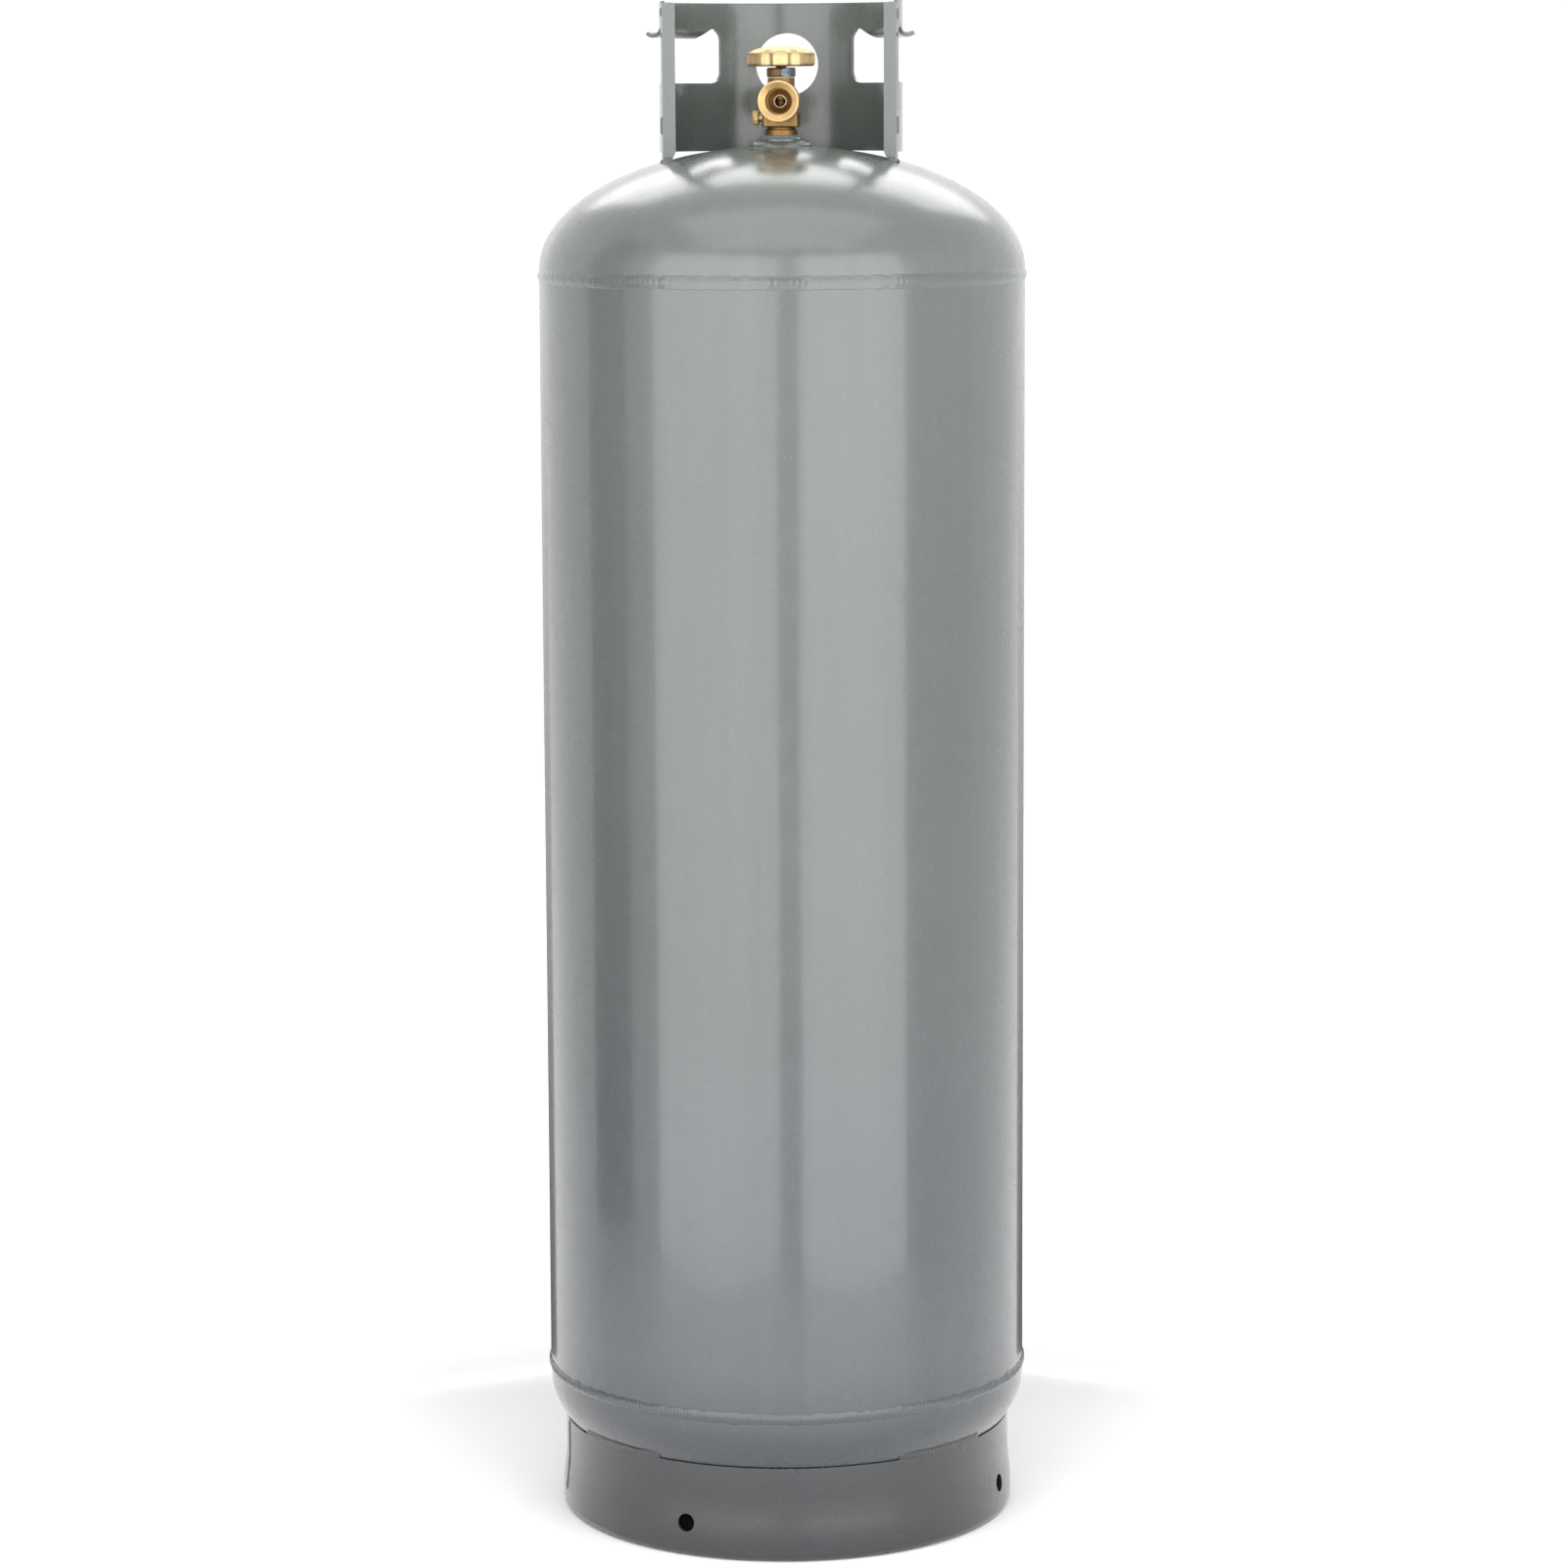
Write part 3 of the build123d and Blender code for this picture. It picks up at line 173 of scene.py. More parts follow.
def paint(name, light, dark, worn=0.0, gloss=0.10):
    """Sprayed grey enamel: orange peel, runs, clouding and streaks, with rubbed edges; its colour carries
    painted shade, lighter at the top and darker low down.
    """
    s = Shader(name, IOR=1.5, Coat_Weight=0.75, Coat_Roughness=gloss, Coat_IOR=1.5)
    clouds = s.noise(6.0, 4.0, 0.6)
    streaks = s.noise(1.0, 3.0, 0.5, place=s.stretch(75, 75, 1.6))
    fine_streaks = s.noise(1.0, 2.0, 0.5, place=s.stretch(420, 420, 7.0))
    height = s.node("SeparateXYZ", {0: s.place}).outputs["Z"]
    # painted shade: the enamel runs from the light colour at the top to the dark one low down, standing in
    # for light that falls from above
    base = s.mix(s.range(height, 0.1, 1.15), dark, light)
    # painted shade: a near-black mixed in toward the floor stands in for the shade close to the floor
    base = s.mix(s.range(height, 0.06, 0.15, 0.75, 0.0), base, colour(22, 25, 28))
    cloud_tone = s.range(clouds, 0.3, 0.7, -0.05, 0.05)
    tone = s.math("ADD", cloud_tone, s.range(streaks, 0.35, 0.75, 0.03, -0.05))
    tone = s.math("ADD", tone, s.range(fine_streaks, 0.55, 0.8, 0.0, -0.05))
    grey = s.node("HueSaturation", {"Color": base, "Value": s.math("ADD", tone, 1.0)}).outputs[0]
    if worn:
        edge = s.math("MULTIPLY", s.worn_edge(0.0012), s.range(s.noise(160.0, 4.0, 0.7), 0.45, 0.7))
        grey = s.mix(s.math("MULTIPLY", edge, worn), grey, colour(178, 180, 176))
    peel = s.noise(420.0, 2.0, 0.5)
    swell = s.noise(16.0, 2.0, 0.4)
    runs = s.range(s.noise(1.0, 2.0, 0.4, place=s.stretch(120, 120, 5.0)), 0.62, 0.78)
    normal = s.bump(swell, 0.0006)
    normal = s.bump(runs, 0.00006, normal=normal)
    normal = s.bump(peel, 0.00004, normal=normal)
    rough = s.range(s.noise(55.0, 4.0, 0.6), 0.3, 0.7, 0.20, 0.30)
    return s.feed(Base_Color=grey, Roughness=rough, Normal=normal)


def brass(name, bright, dull, rough=0.28, cast=0.0, turned=None, zones=False):
    """Brass: cast grain, turned rings round an axis, patches of tarnish and bright edges.

    turned is the axis, 0 to 2, and a point on it. With zones, the front of the outlet is machined bright
    and the foot of the body is coppery.
    """
    s = Shader(name, Metallic=1.0)
    stain = s.range(s.noise(120.0, 5.0, 0.65), 0.35, 0.75)
    edge = s.worn_edge(0.0009)
    base = s.mix(s.math("MULTIPLY", stain, 0.75), bright, dull)
    if zones:
        split = s.node("SeparateXYZ", {0: s.place})
        machined = s.range(split.outputs["Y"], (MACHINED_Y + 0.5) * MM, (MACHINED_Y - 0.5) * MM)
        low = s.range(split.outputs["Z"], (COPPERY_Z + 1) * MM, (COPPERY_Z - 1) * MM)
        shine = s.math("MULTIPLY", machined, s.range(stain, 0.0, 1.0, 0.95, 0.6))
        base = s.mix(shine, base, colour(214, 184, 132))
        base = s.mix(s.math("MULTIPLY", low, 0.8), base, colour(148, 108, 66))
    base = s.mix(s.math("MULTIPLY", edge, 0.4), base, colour(230, 206, 152))
    spread = s.noise(600.0, 3.0, 0.6)
    roughness = s.range(spread, 0.3, 0.7, rough - 0.06, rough + 0.08)
    roughness = s.math("ADD", roughness, s.math("MULTIPLY", stain, 0.14))
    normal = s.node("Bevel", {"Radius": 0.0004}, samples=4).outputs[0]
    if turned:
        axis, centre = turned
        kept = tuple(0.0 if i == axis else 1.0 for i in range(3))
        flat = s.node("VectorMath", {0: s.place, 1: centre}, operation="SUBTRACT").outputs[0]
        flat = s.node("VectorMath", {0: flat, 1: kept}, operation="MULTIPLY").outputs[0]
        radius = s.node("VectorMath", {0: flat}, operation="LENGTH").outputs["Value"]
        rings = s.math("SINE", s.math("MULTIPLY", radius, TOOL_MARKS))
        normal = s.bump(rings, 0.000012, normal=normal)
    if cast:
        pits = s.noise(900.0, 4.0, 0.6)
        if zones:
            pits = s.math("MULTIPLY", pits, s.range(machined, 0.0, 1.0, 1.0, 0.1))
        normal = s.bump(pits, cast * MM, normal=normal)
    normal = s.bump(s.noise(2600.0, 2.0, 0.5), 0.00001, normal=normal)
    return s.feed(Base_Color=base, Roughness=roughness, Normal=normal)


def plain(name, first, second, scale=300.0, rough=(0.4, 0.6), metallic=0.0, grain=0.00002):
    """A small part's material: two close colours, uneven gloss and a fine grain."""
    s = Shader(name, Metallic=metallic)
    base = s.mix(s.range(s.noise(scale, 4.0, 0.6), 0.3, 0.7), first, second)
    edge = s.math("MULTIPLY", s.worn_edge(0.0005), 0.25)
    base = s.mix(edge, base, colour(220, 220, 215))
    roughness = s.range(s.noise(scale * 2.3, 3.0, 0.6), 0.3, 0.7, rough[0], rough[1])
    normal = s.bump(s.noise(scale * 6.0, 3.0, 0.6), grain)
    return s.feed(Base_Color=base, Roughness=roughness, Normal=normal)


TANK = paint("tank_enamel", colour(86, 92, 87), colour(66, 70, 74))
# painted light: the top head takes a lighter copy of the tank's enamel, standing in for the light that falls
# on it from above
DOME = paint("dome_enamel", colour(92, 98, 93), colour(66, 70, 74), gloss=0.2)
COLLAR = paint("collar_enamel", colour(86, 92, 87), colour(66, 70, 74), worn=0.3, gloss=0.13)
POST = paint("post_enamel", colour(88, 94, 91), colour(78, 83, 84), worn=0.5, gloss=0.16)
# painted shade: the foot ring's low colour is darker than the tank's, standing in for the shade under the
# bottom head
FOOT = paint("foot_enamel", colour(89, 95, 90), colour(46, 49, 53), worn=0.5, gloss=0.2)
VALVE = brass("valve_brass", colour(158, 129, 84), colour(98, 76, 48), rough=0.36, cast=0.05,
              turned=(1, (0.0, 0.0, OUTLET_Z * MM)), zones=True)
BONNET = brass("bonnet_brass", colour(136, 108, 72), colour(84, 64, 42), rough=0.44, cast=0.05)
WHEEL = brass("wheel_brass", colour(204, 182, 136), colour(170, 146, 102), rough=0.36, cast=0.03)
# painted shade: the spindle and seat holder inside the outlet take a dark brass that stands in for the shade
# deep in the hole
SHADED_INNER_BRASS = brass("inner_brass", colour(92, 74, 50), colour(56, 44, 30), rough=0.45)
BLEEDER = brass("bleeder_brass", colour(196, 168, 114), colour(140, 112, 68), rough=0.34)
SEAT = brass("seat_metal", colour(206, 178, 164), colour(150, 118, 104), rough=0.25,
             turned=(1, (0.0, 0.0, OUTLET_Z * MM)))
STEEL = plain("zinc_steel", colour(112, 124, 130), colour(78, 88, 94), 420.0, (0.3, 0.45), 1.0)
TUBE = plain("drawn_tube", colour(206, 206, 206), colour(176, 178, 180), 260.0, (0.25, 0.4), 1.0)
SPRING = plain("spring_wire", colour(150, 150, 150), colour(110, 110, 112), 600.0, (0.25, 0.4), 1.0)
SEAL = plain("nylon", colour(214, 210, 196), colour(196, 190, 172), 300.0, (0.35, 0.5))
SEALANT = plain("blue_sealant", colour(66, 96, 128), colour(112, 128, 132), 520.0, (0.45, 0.7), 0.0, 0.00012)
RUBBER = plain("nitrile_rubber", colour(34, 34, 34), colour(48, 48, 47), 300.0, (0.55, 0.75))
CAP = plain("cap_plastic", colour(206, 172, 52), colour(190, 154, 40), 120.0, (0.32, 0.45))

NODE_MATERIALS = {
    TANK: ("shell", "bottom_head"),
    DOME: ("top_head", "valve_boss"),
    COLLAR: ("collar_plate",),
    POST: ("left_collar_post", "right_collar_post"),
    FOOT: ("foot_ring",),
    VALVE: ("valve_body", "valve_stem", "relief_poppet", "relief_retainer"),
    SHADED_INNER_BRASS: ("spindle", "seat_holder"),
    BONNET: ("bonnet",),
    BLEEDER: ("bleeder_screw",),
    SEAT: ("outlet_seat_ring",),
    STEEL: ("bonnet_lock_plate", "bonnet_lock_pin", "handwheel_screw"),
    TUBE: ("dip_tube",),
    SPRING: ("relief_spring",),
    SEAL: ("bonnet_gasket", "seat_disc", "bleeder_seat"),
    SEALANT: ("thread_sealant",),
    RUBBER: ("stem_seal_rings", "relief_disc"),
    CAP: ("relief_cap",),
}
for material, names in NODE_MATERIALS.items():
    for node_name in names:
        for material_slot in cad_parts[node_name].material_slots:
            material_slot.material = material


# ---------------------------------------------------------------- mesh tools


def outward(azimuth):
    """Unit vector away from the axis at an azimuth in degrees, from the front toward +X."""
    return Vector((sin(radians(azimuth)), -cos(radians(azimuth)), 0.0))


def ring_point(azimuth, radius, height):
    """A point in millimetres at an azimuth, radius and height."""
    return outward(azimuth) * radius + Vector((0.0, 0.0, height))


def add_piece(name, verts, faces, material, body=BODY, replaced=(), smooth=True):
    """Makes a mesh piece from millimetre points, hangs it on its body's empty and hides the CAD parts it
    replaces.
    """
    mesh = bpy.data.meshes.new(name)
    mesh.from_pydata([Vector(v) * MM for v in verts], [], faces)
    mesh.validate()
    mesh.update()
    piece = bpy.data.objects.new(name, mesh)
    bpy.context.scene.collection.objects.link(piece)
    mesh.materials.append(material)
    if smooth:
        mesh.polygons.foreach_set("use_smooth", [True] * len(mesh.polygons))
    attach(piece, body)
    if replaced:
        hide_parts(*replaced)
    return piece


def bead_rows(place, length, closed, half_width, height, pitch, depth, seed,
              uneven=0.25, step=0.5, blend=0.8):
    """Vertices and faces of one weld bead.

    place(t) gives the middle of the bead's foot, the direction across it and the direction out of it.
    The ripples are crescents a pitch apart, uneven is how much the width and height wander, and a larger
    blend runs the bead out more softly at its sides.
    """
    count = max(8, int(length / step))
    across_steps = 12
    verts, faces = [], []
    for i in range(count if closed else count + 1):
        t = i / count
        along = t * length
        middle, across, out = place(t)
        spot = Vector((1.0, 0.0, along / 18))
        if closed:
            spot = Vector((cos(tau * t), sin(tau * t), 0.0)) * (length / 60)
        wander = noise.noise(spot * 1.3 + Vector((seed * 7.1, 0, 0)))
        wander_high = noise.noise(spot * 2.1 + Vector((0, seed * 3.7, 0)))
        end = 1.0 if closed else min(1.0, sqrt(max(0.0, min(along, length - along) / (half_width * 0.9))))
        width = half_width * (1 + uneven * wander) * (0.45 + 0.55 * end)
        for j in range(across_steps + 1):
            v = 2 * j / across_steps - 1
            phase = along / pitch + 0.42 * v * v + 0.15 * wander
            scale = 1 + depth * sin(tau * phase) * (1 - v * v) + 0.5 * uneven * wander_high
            rise = height * end * (1 - v * v) ** blend * scale
            verts.append(middle + across * (width * v) + out * rise)
        verts.append(middle + across * width - out * 0.4)
        verts.append(middle - across * width - out * 0.4)
    row = across_steps + 3
    rows = count if closed else count + 1
    for i in range(count):
        a, b = i * row, ((i + 1) % rows) * row
        for j in range(row):
            k = (j + 1) % row
            faces.append((a + j, a + k, b + k, b + j))
    if not closed:
        faces.append(tuple(range(row))[::-1])
        faces.append(tuple(range(count * row, (count + 1) * row)))
    return verts, faces


def bead_piece(name, beads, material, replaced):
    """One piece made of several beads, each the arguments of bead_rows."""
    verts, faces = [], []
    for bead in beads:
        more_verts, more_faces = bead_rows(**bead)
        start = len(verts)
        verts += more_verts
        faces += [tuple(start + v for v in face) for face in more_faces]
    return add_piece(name, verts, faces, material, replaced=replaced)


def girth(height, radius=SHELL_R):
    """The path of a weld round the shell."""
    def place(t):
        azimuth = 360 * t
        return ring_point(azimuth, radius, height), Vector((0, 0, 1)), outward(azimuth)
    return place


def head_z(radius):
    """Height of the top head's outside at a radius."""
    return TOP_TANGENT_Z + HEAD_DEPTH * sqrt(1 - (radius / SHELL_R) ** 2)


# ---------------------------------------------------------------- welds

bead_piece("top_girth_bead", [dict(
    place=girth(TOP_WELD_Z), length=tau * SHELL_R, closed=True, half_width=5.2, height=1.3, pitch=4.6,
    depth=0.05, seed=1, uneven=0.16, step=0.9, blend=1.9)], TANK, ("top_girth_weld",))
bead_piece("bottom_girth_bead", [dict(
    place=girth(BOTTOM_WELD_Z), length=tau * SHELL_R, closed=True, half_width=4.2, height=1.25, pitch=2.7,
    depth=0.22, seed=2, uneven=0.3, step=0.5, blend=1.2)], TANK, ("bottom_girth_weld",))


def seam_place(t):
    """The shell's lengthwise seam at the back, from the lower girth bead to the upper one."""
    height = BOTTOM_WELD_Z + 4 + t * (TOP_WELD_Z - BOTTOM_WELD_Z - 8)
    return ring_point(180, SHELL_R - 0.03, height), Vector((1, 0, 0)), outward(180)


bead_piece("shell_seam_bead", [dict(
    place=seam_place, length=TOP_WELD_Z - BOTTOM_WELD_Z - 8, closed=False, half_width=3.8, height=1.0,
    pitch=3.2, depth=0.1, seed=3, uneven=0.15, step=0.7)], TANK, ("shell_seam_weld",))


def foot_weld_place(centre):
    """The fillet between the foot ring's top edge and the bottom head."""
    def place(t):
        azimuth = centre + FOOT_WELD_SPAN * (t - 0.5)
        less, more = FOOT_WELD_LEAN
        out = outward(azimuth) * more + Vector((0, 0, -less))
        across = outward(azimuth) * less + Vector((0, 0, more))
        return ring_point(azimuth, FOOT_WELD_R, FOOT_WELD_Z), across, out
    return place


bead_piece("foot_ring_beads", [dict(
    place=foot_weld_place(centre), length=radians(FOOT_WELD_SPAN) * FOOT_WELD_RUN_R, closed=False,
    half_width=3.6, height=1.9, pitch=3.4, depth=0.16, seed=4 + i, uneven=0.25)
    for i, centre in enumerate(FOOT_WELD_CENTRES)], FOOT, ("foot_ring_welds",))


def foot_seam_place(t):
    """The foot ring's upright seam, which follows the flare of its wall."""
    height = FOOT_SEAM_START_Z + FOOT_SEAM_LENGTH * t
    drop = min(1.0, max(0.0, (FLARE_START_Z - height) / FLARE_HEIGHT))
    radius = FOOT_R + FLARE * drop * drop * (3 - 2 * drop) - 0.05
    side = Vector((cos(radians(FOOT_SEAM_AZIMUTH)), sin(radians(FOOT_SEAM_AZIMUTH)), 0))
    return ring_point(FOOT_SEAM_AZIMUTH, radius, height), side, outward(FOOT_SEAM_AZIMUTH)


bead_piece("foot_seam_bead", [dict(
    place=foot_seam_place, length=FOOT_SEAM_LENGTH, closed=False, half_width=3.2, height=1.0, pitch=2.6,
    depth=0.2, seed=9)],
    FOOT, ("foot_ring_seam_weld",))


def boss_place(t):
    """The fillet round the valve boss."""
    azimuth = 360 * t
    across = (outward(azimuth) * 0.88 + Vector((0, 0, -0.474))).normalized()
    out = (outward(azimuth) * 0.474 + Vector((0, 0, 0.88))).normalized()
    return ring_point(azimuth, BOSS_WELD_R, BOSS_WELD_Z), across, out


bead_piece("boss_bead", [dict(
    place=boss_place, length=tau * BOSS_WELD_RUN_R, closed=True, half_width=4.6, height=1.5, pitch=3.0,
    depth=0.14, seed=10, uneven=0.18, step=0.5)], DOME, ("boss_weld",))


def post_foot_place(azimuth, side):
    """The fillet at one face of a collar post's foot. side is +1 toward larger azimuths."""
    front = -1 if azimuth > 0 else 1
    azimuth += COLLAR_TURN
    tangent = Vector((cos(radians(azimuth)), sin(radians(azimuth)), 0))
    face = front * POST_THICKNESS if side == front else 0.0

    def place(t):
        radius = COLLAR_R - POST_WELD_INSET + POST_WELD_RUN * t
        middle = ring_point(azimuth, radius, head_z(radius) + 0.9) + tangent * (face + side * 0.9)
        out = (tangent * side + outward(azimuth) * 0.2 + Vector((0, 0, 0.8))).normalized()
        across = out.cross(outward(azimuth)).normalized()
        return middle, across, out
    return place


def leg_foot_place(radius, side):
    """The fillet along the inner or outer face of the collar's rear leg."""
    def place(t):
        azimuth = 180 + COLLAR_TURN + (REAR_LEG_HALF_SPAN - 0.5) * (2 * t - 1)
        out = (outward(azimuth) * side + Vector((0, 0, 0.7))).normalized()
        across = (outward(azimuth) * -0.7 * side + Vector((0, 0, 1))).normalized()
        return ring_point(azimuth, radius + side * 0.8, head_z(radius) + 0.9), across, out
    return place


post_foot_beads = [dict(
    place=post_foot_place(azimuth, side), length=9.0, closed=False, half_width=2.9, height=1.9, pitch=2.4,
    depth=0.2, seed=11 + azimuth + side, step=0.35)
    for azimuth in (-COLLAR_END, COLLAR_END) for side in (-1, 1)]
leg_span = radians(2 * REAR_LEG_HALF_SPAN - 1)
leg_foot_beads = [dict(
    place=leg_foot_place(radius, side), length=leg_span * radius, closed=False, half_width=3.0, height=1.8,
    pitch=2.9, depth=0.2, seed=20 + side, step=0.4)
    for radius, side in ((COLLAR_R, 1), (COLLAR_R - COLLAR_WALL, -1))]
bead_piece("collar_foot_beads", post_foot_beads + leg_foot_beads, TANK, ("collar_leg_welds",))


def tack_place(azimuth, low, high):
    """A short upright weld on the outside of the joint of post and collar."""
    tangent = Vector((cos(radians(azimuth)), sin(radians(azimuth)), 0))

    def place(t):
        return ring_point(azimuth, COLLAR_R, low + (high - low) * t), tangent, outward(azimuth)
    return place


# side of the collar, -1 for the left, and the heights where each tack starts and ends
TACKS = ((-1, 1175, 1182), (-1, 1085, 1099), (1, 1172, 1181), (1, 1085, 1099))
bead_piece("collar_tack_beads", [dict(
    place=tack_place(side * TACK_AZIMUTH + COLLAR_TURN, low, high), length=high - low, closed=False,
    half_width=2.3, height=1.2, pitch=2.2, depth=0.2, seed=30 + low, step=0.35)
    for side, low, high in TACKS], TANK, ("collar_post_welds",))


# ---------------------------------------------------------------- valve details


def wheel_radius(angle):
    """How far the handwheel's rim reaches at an angle: eight shallow scallops with soft corners."""
    reach = WHEEL_R - SCALLOP_DEPTH + SCALLOP_R
    offset = (angle - radians(22.5 + WHEEL_TURN) + pi / 8) % (pi / 4) - pi / 8
    inside = SCALLOP_R**2 - (reach * sin(offset)) ** 2
    if inside <= 0:
        return WHEEL_R
    cut = reach * cos(offset) - sqrt(inside)
    soft = 0.5
    blend = max(0.0, min(1.0, 0.5 + 0.5 * (WHEEL_R - cut) / soft))
    return WHEEL_R * (1 - blend) + cut * blend - soft * blend * (1 - blend) * 0.5


def make_wheel():
    """The cast handwheel: a domed lobed cap, hollow below, with a splined hub."""
    # radius, height, share of the scallop depth, share of the spline depth
    outline = [
        (2.1, STEM_TOP_Z + 0.1, 0, 0), (2.1, WHEEL_CROWN_Z - 2.5, 0, 0), (4.5, WHEEL_CROWN_Z - 2.5, 0, 0),
        (4.7, WHEEL_CROWN_Z - 0.5, 0, 0), (5.2, WHEEL_CROWN_Z - 0.05, 0, 0), (8.0, WHEEL_CROWN_Z, 0, 0),
        (10.3, WHEEL_CROWN_Z - 0.05, 0, 0), (11.2, WHEEL_CROWN_Z - 0.35, 0, 0),
        (15.5, WHEEL_CROWN_Z - 1.35, 0.15, 0), (20.0, WHEEL_CROWN_Z - 2.75, 0.6, 0),
        (23.6, WHEEL_RIM_TOP_Z + 0.75, 1, 0), (25.0, WHEEL_RIM_TOP_Z - 0.1, 1, 0),
        (25.9, WHEEL_RIM_TOP_Z - 1.0, 1, 0), (26.2, WHEEL_RIM_TOP_Z - 2.2, 1, 0), (26.22, WHEEL_RIM_Z, 1, 0),
        (26.1, WHEEL_BOTTOM_Z + 1.6, 1, 0), (25.6, WHEEL_BOTTOM_Z + 0.5, 1, 0), (24.8, WHEEL_BOTTOM_Z, 1, 0),
        (22.7, WHEEL_BOTTOM_Z, 1, 0), (22.1, WHEEL_BOTTOM_Z + 0.4, 1, 0),
        (21.7, WHEEL_BOTTOM_Z + 2.0, 0.9, 0), (21.3, WHEEL_RIM_TOP_Z - 4.2, 0.8, 0),
        (20.2, WHEEL_RIM_TOP_Z - 3.2, 0.6, 0),
        (12.0, WHEEL_CROWN_Z - 3.8, 0, 0), (6.2, WHEEL_CROWN_Z - 4.1, 0, 0), (5.2, WHEEL_CROWN_Z - 4.8, 0, 1),
        (4.9, WHEEL_BOTTOM_Z + 0.2, 0, 1), (4.6, WHEEL_BOTTOM_Z - 0.55, 0, 1),
        (4.05, WHEEL_BOTTOM_Z - 0.55, 0, 0), (4.05, STEM_TOP_Z + 0.1, 0, 0),
    ]
    steps = 8 * 24
    spline_depth, splines = 0.28, 16
    verts, faces = [], []
    for i in range(steps):
        angle = tau * i / steps
        depth = WHEEL_R - wheel_radius(angle)
        spline = spline_depth * (0.5 + 0.5 * cos(angle * splines))
        for radius, height, scallop, hub in outline:
            r = radius - depth * scallop - spline * hub
            verts.append((r * cos(angle), r * sin(angle), height))
    size = len(outline)
    for i in range(steps):
        a, b = i * size, ((i + 1) % steps) * size
        for j in range(size):
            k = (j + 1) % size
            faces.append((a + j, b + j, b + k, a + k))
    piece = add_piece("lobed_handwheel", verts, faces, WHEEL, "handwheel_and_stem",
                      ("handwheel",))
    soft = piece.modifiers.new("soft_casting", "SUBSURF")
    soft.levels = soft.render_levels = 1


make_wheel()


def make_outlet_thread():
    """The left-hand female thread inside the outlet, as one helical ridge."""
    start_y, end_y = -29.1, -14.9
    root_r, crest_r = 10.7, 10.08
    section = ((root_r, -0.86), (crest_r, -0.14), (crest_r, 0.14), (root_r, 0.86))
    steps_per_turn, run_in = 72, 18
    turns = (end_y - start_y) / THREAD_PITCH
    count = int(turns * steps_per_turn)
    verts, faces = [], []
    for i in range(count + 1):
        angle = tau * i / steps_per_turn
        middle = start_y + THREAD_PITCH * i / steps_per_turn
        ease = min(1.0, i / run_in, (count - i) / run_in)
        for radius, shift in section:
            r = root_r - (root_r - radius) * ease
            verts.append((r * cos(angle), middle + shift, OUTLET_Z + r * sin(angle)))
    size = len(section)
    for i in range(count):
        a, b = i * size, (i + 1) * size
        for j in range(size):
            k = (j + 1) % size
            faces.append((a + j, a + k, b + k, b + j))
    faces.append(tuple(range(size))[::-1])
    faces.append(tuple(range(count * size, (count + 1) * size)))
    add_piece("outlet_thread", verts, faces, VALVE, smooth=False)


make_outlet_thread()


def make_spring():
    """The relief spring: an open coil at one length; in the valve it shortens toward its retainer as the
    poppet lifts.
    """
    start_y, end_y, coil_r, wire_r, turns = 20.55, 26.45, 5.2, 0.5, 4
    steps, sides = turns * 48, 12
    verts, faces = [], []
    for i in range(steps + 1):
        angle = tau * turns * i / steps
        middle = start_y + (end_y - start_y) * i / steps
        out = Vector((cos(angle), 0, sin(angle)))
        for k in range(sides):
            turn = tau * k / sides
            point = out * (coil_r + wire_r * cos(turn)) + Vector((0, middle + wire_r * sin(turn), OUTLET_Z))
            verts.append(point)
    for i in range(steps):
        a, b = i * sides, (i + 1) * sides
        faces += [(a + k, a + (k + 1) % sides, b + (k + 1) % sides, b + k) for k in range(sides)]
    faces += [tuple(range(sides))[::-1], tuple(range(steps * sides, (steps + 1) * sides))]
    coil = add_piece("relief_coil", verts, faces, SPRING, replaced=("relief_spring",))
    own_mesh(coil)


make_spring()


# ---------------------------------------------------------------- stage, lights and camera


def make_stage():
    """A pale floor that turns up into a wall far off on every side."""
    flat_r, bend_r, wall_top, bend_steps, sides = 5.0, 2.0, 4.5, 12, 96
    outline = [(0.5, 0.0), (2.0, 0.0), (flat_r, 0.0)]
    for k in range(1, bend_steps + 1):
        angle = pi / 2 * k / bend_steps
        outline.append((flat_r + bend_r * sin(angle), bend_r - bend_r * cos(angle)))
    outline.append((flat_r + bend_r, wall_top))
    verts = [(0.0, 0.0, 0.0)]
    for radius, height in outline:
        turned = [(radius * cos(tau * i / sides), radius * sin(tau * i / sides)) for i in range(sides)]
        verts += [(x, y, height) for x, y in turned]
    faces = [(0, 1 + i, 1 + (i + 1) % sides) for i in range(sides)]
    for k in range(len(outline) - 1):
        a, b = 1 + k * sides, 1 + (k + 1) * sides
        faces += [(a + i, b + i, b + (i + 1) % sides, a + (i + 1) % sides) for i in range(sides)]
    mesh = bpy.data.meshes.new("studio_floor")
    mesh.from_pydata(verts, [], faces)
    mesh.polygons.foreach_set("use_smooth", [True] * len(mesh.polygons))
    floor = bpy.data.objects.new("studio_floor", mesh)
    bpy.context.scene.collection.objects.link(floor)
    s = Shader("pale_floor", Roughness=0.65, Emission_Color=(1.0, 1.0, 1.0, 1.0))
    tone = s.mix(s.noise(3.0, 2.0), colour(243, 243, 243), colour(247, 247, 247))
    away = s.node("VectorMath", {0: s.place}, operation="LENGTH").outputs["Value"]
    glow = s.range(away, 0.2, 0.6, 0.0, 0.13)
    mesh.materials.append(s.feed(Base_Color=tone, Emission_Strength=glow))


def softbox(name, azimuth, distance, height, width, tall, radiance, target_z):
    """A rectangular light at an azimuth round the tank, aimed at a height on its axis."""
    light = bpy.data.lights.new(name, "AREA")
    light.shape = "RECTANGLE"
    light.size, light.size_y = width, tall
    light.energy = radiance * pi * width * tall
    lamp = bpy.data.objects.new(name, light)
    bpy.context.scene.collection.objects.link(lamp)
    lamp.visible_camera = False
    lamp.location = outward(azimuth) * distance + Vector((0, 0, height))
    lamp.rotation_euler = (Vector((0, 0, target_z)) - lamp.location).to_track_quat("-Z", "Y").to_euler()


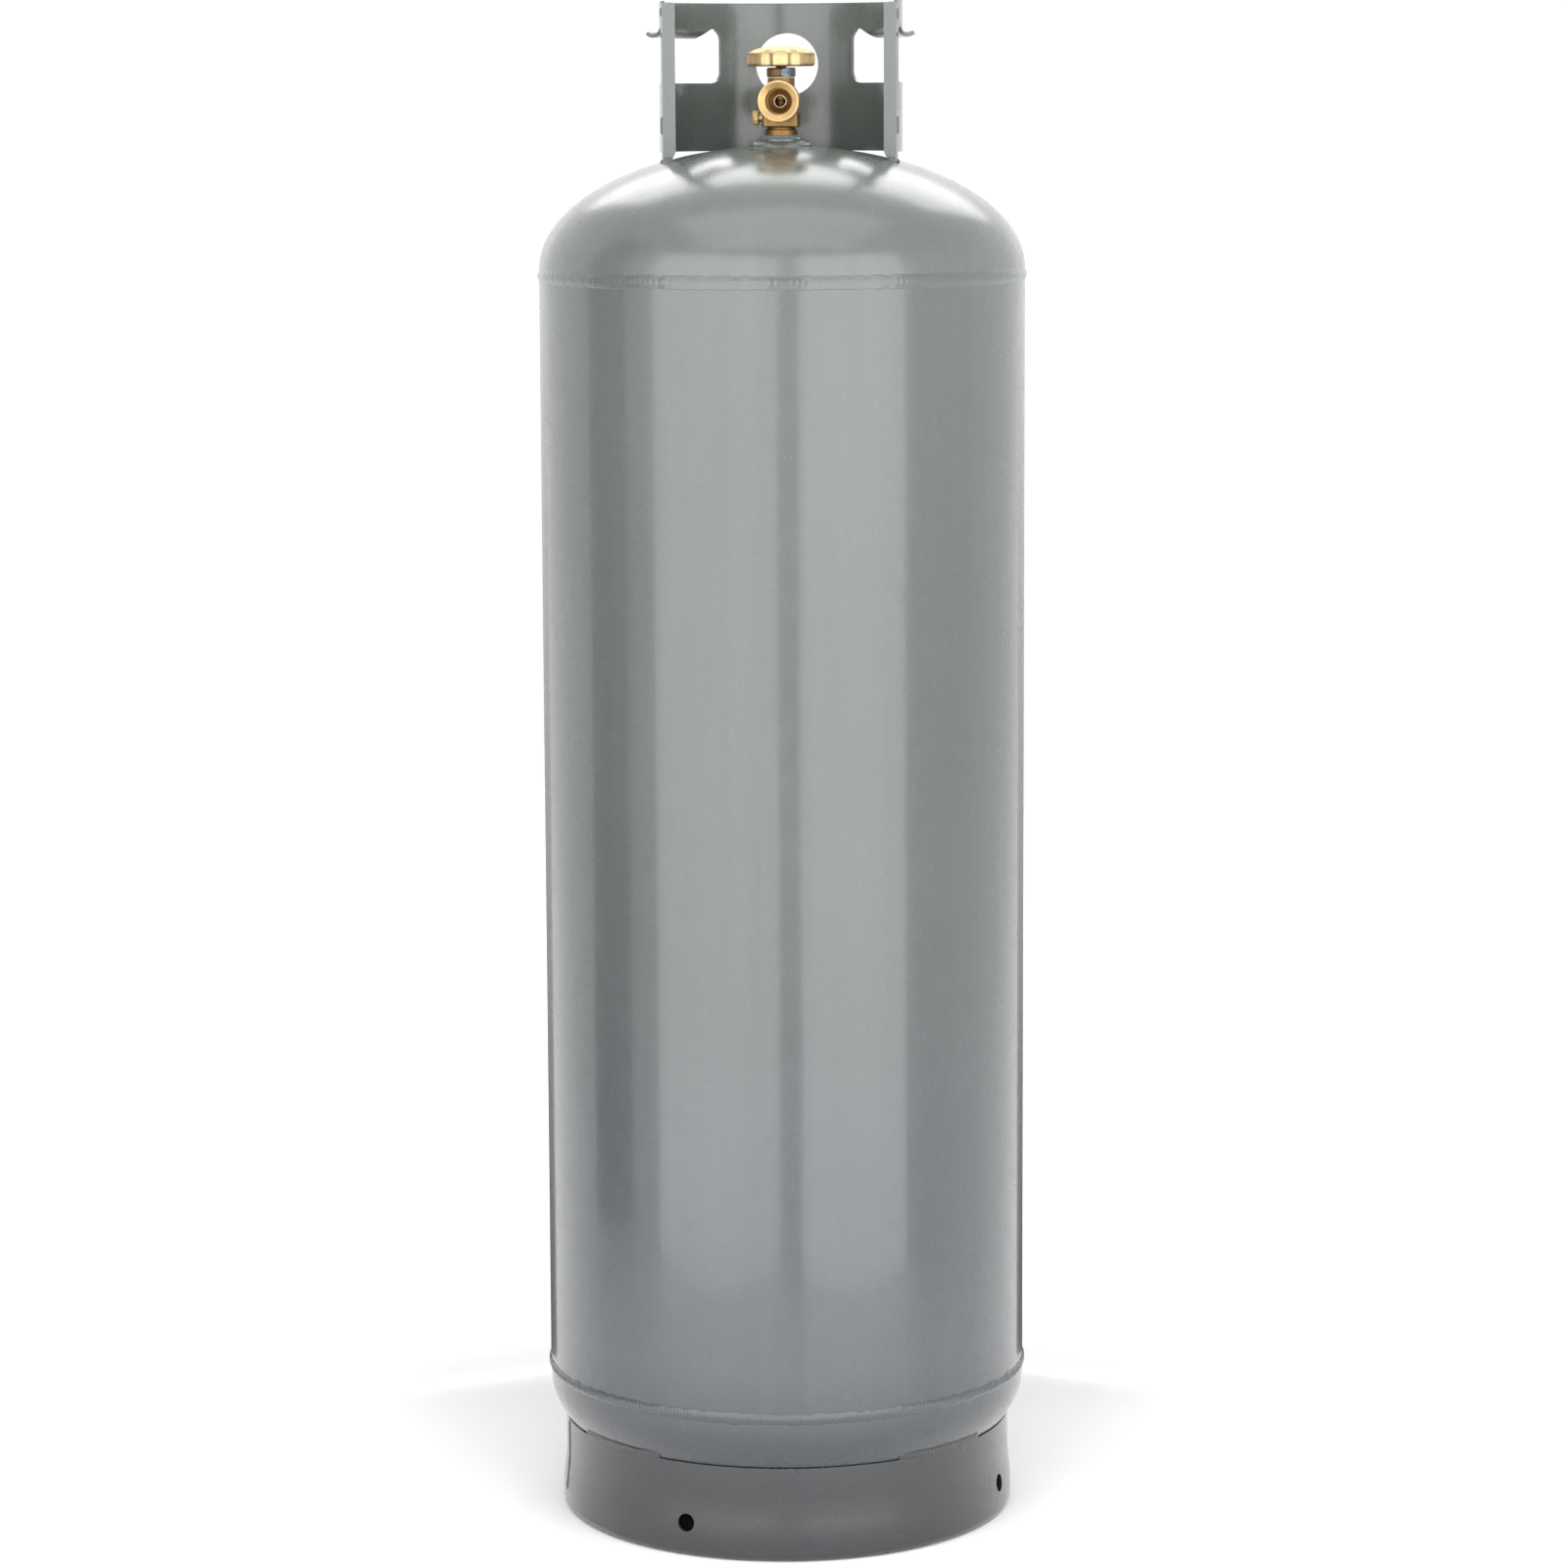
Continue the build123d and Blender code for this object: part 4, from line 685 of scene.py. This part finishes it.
def flag(name, azimuth, distance, width, tone, top_tone, tall=1.9, shades=True):
    """An upright card that shapes the tank's reflections, from one grey at its foot to another at its top."""
    foot_z = 0.02
    middle = outward(azimuth) * distance
    side = Vector((cos(radians(azimuth)), sin(radians(azimuth)), 0))
    corners = ((-1, foot_z), (1, foot_z), (1, tall), (-1, tall))
    verts = [middle + side * (x * width / 2) + Vector((0, 0, z)) for x, z in corners]
    mesh = bpy.data.meshes.new(name)
    mesh.from_pydata(verts, [], [(0, 1, 2, 3)])
    card = bpy.data.objects.new(name, mesh)
    bpy.context.scene.collection.objects.link(card)
    card.visible_camera = False
    card.visible_shadow = shades
    s = Shader(name + "_cloth", Roughness=0.9)
    height = s.node("SeparateXYZ", {0: s.place}).outputs["Z"]
    foot_grey, top_grey = colour(tone, tone, tone), colour(top_tone, top_tone, top_tone)
    cloth = s.mix(s.range(height, 0.1, tall), foot_grey, top_grey)
    cloth = s.mix(s.range(s.noise(300.0), 0.3, 0.7, 0.0, 0.1), cloth, colour(128, 128, 128))
    mesh.materials.append(s.feed(Base_Color=cloth))


def make_camera():
    """The camera stands a little to the right of the outlet, at the height of the collar."""
    azimuth, distance, height = 4.31, 3.586, 1.110
    tilt, roll = radians(7.673), radians(-0.255)
    camera = bpy.data.cameras.new("camera")
    camera.lens, camera.sensor_width = 105.6, 36.0
    camera.shift_y = -0.04
    eye = bpy.data.objects.new("camera", camera)
    bpy.context.scene.collection.objects.link(eye)
    forward = -outward(azimuth) * cos(tilt) + Vector((0, 0, -sin(tilt)))
    right = forward.cross(Vector((0, 0, 1))).normalized()
    up = right.cross(forward)
    right, up = right * cos(roll) + up * sin(roll), up * cos(roll) - right * sin(roll)
    turn = Matrix((right, up, -forward)).transposed()
    stand = Matrix.Translation(outward(azimuth) * distance + Vector((0, 0, height)))
    eye.matrix_world = stand @ turn.to_4x4()
    bpy.context.scene.camera = eye


make_stage()
LIGHT_AZIMUTH = 4.3  # the lights and cards are set out about this line, which is the camera's to 0.01 degree
softbox("left_softbox", LIGHT_AZIMUTH - 30, 0.95, 0.78, 0.99, 1.54, 1.85, 0.78)
softbox("right_softbox", LIGHT_AZIMUTH + 30.5, 0.95, 0.78, 0.83, 1.54, 2.05, 0.78)
softbox("back_softbox", 180, 2.4, 3.0, 3.4, 1.6, 2.2, 1.1)
softbox("top_softbox", LIGHT_AZIMUTH, 0.7, 3.1, 2.6, 2.2, 1.1, 1.0)
flag("left_flag", LIGHT_AZIMUTH - 84, 1.1, 0.46, 116, 128)
flag("left_back_flag", LIGHT_AZIMUTH - 155, 0.42, 0.42, 96, 246, tall=1.1, shades=False)
flag("right_back_flag", LIGHT_AZIMUTH + 155, 0.42, 0.42, 96, 246, tall=1.1, shades=False)
make_camera()

world = bpy.data.worlds.new("studio")
world.use_nodes = True
world.node_tree.nodes["Background"].inputs["Color"].default_value = (1.0, 1.0, 1.0, 1.0)
world.node_tree.nodes["Background"].inputs["Strength"].default_value = 0.9
bpy.context.scene.world = world
bpy.context.scene.view_settings.view_transform = "Standard"
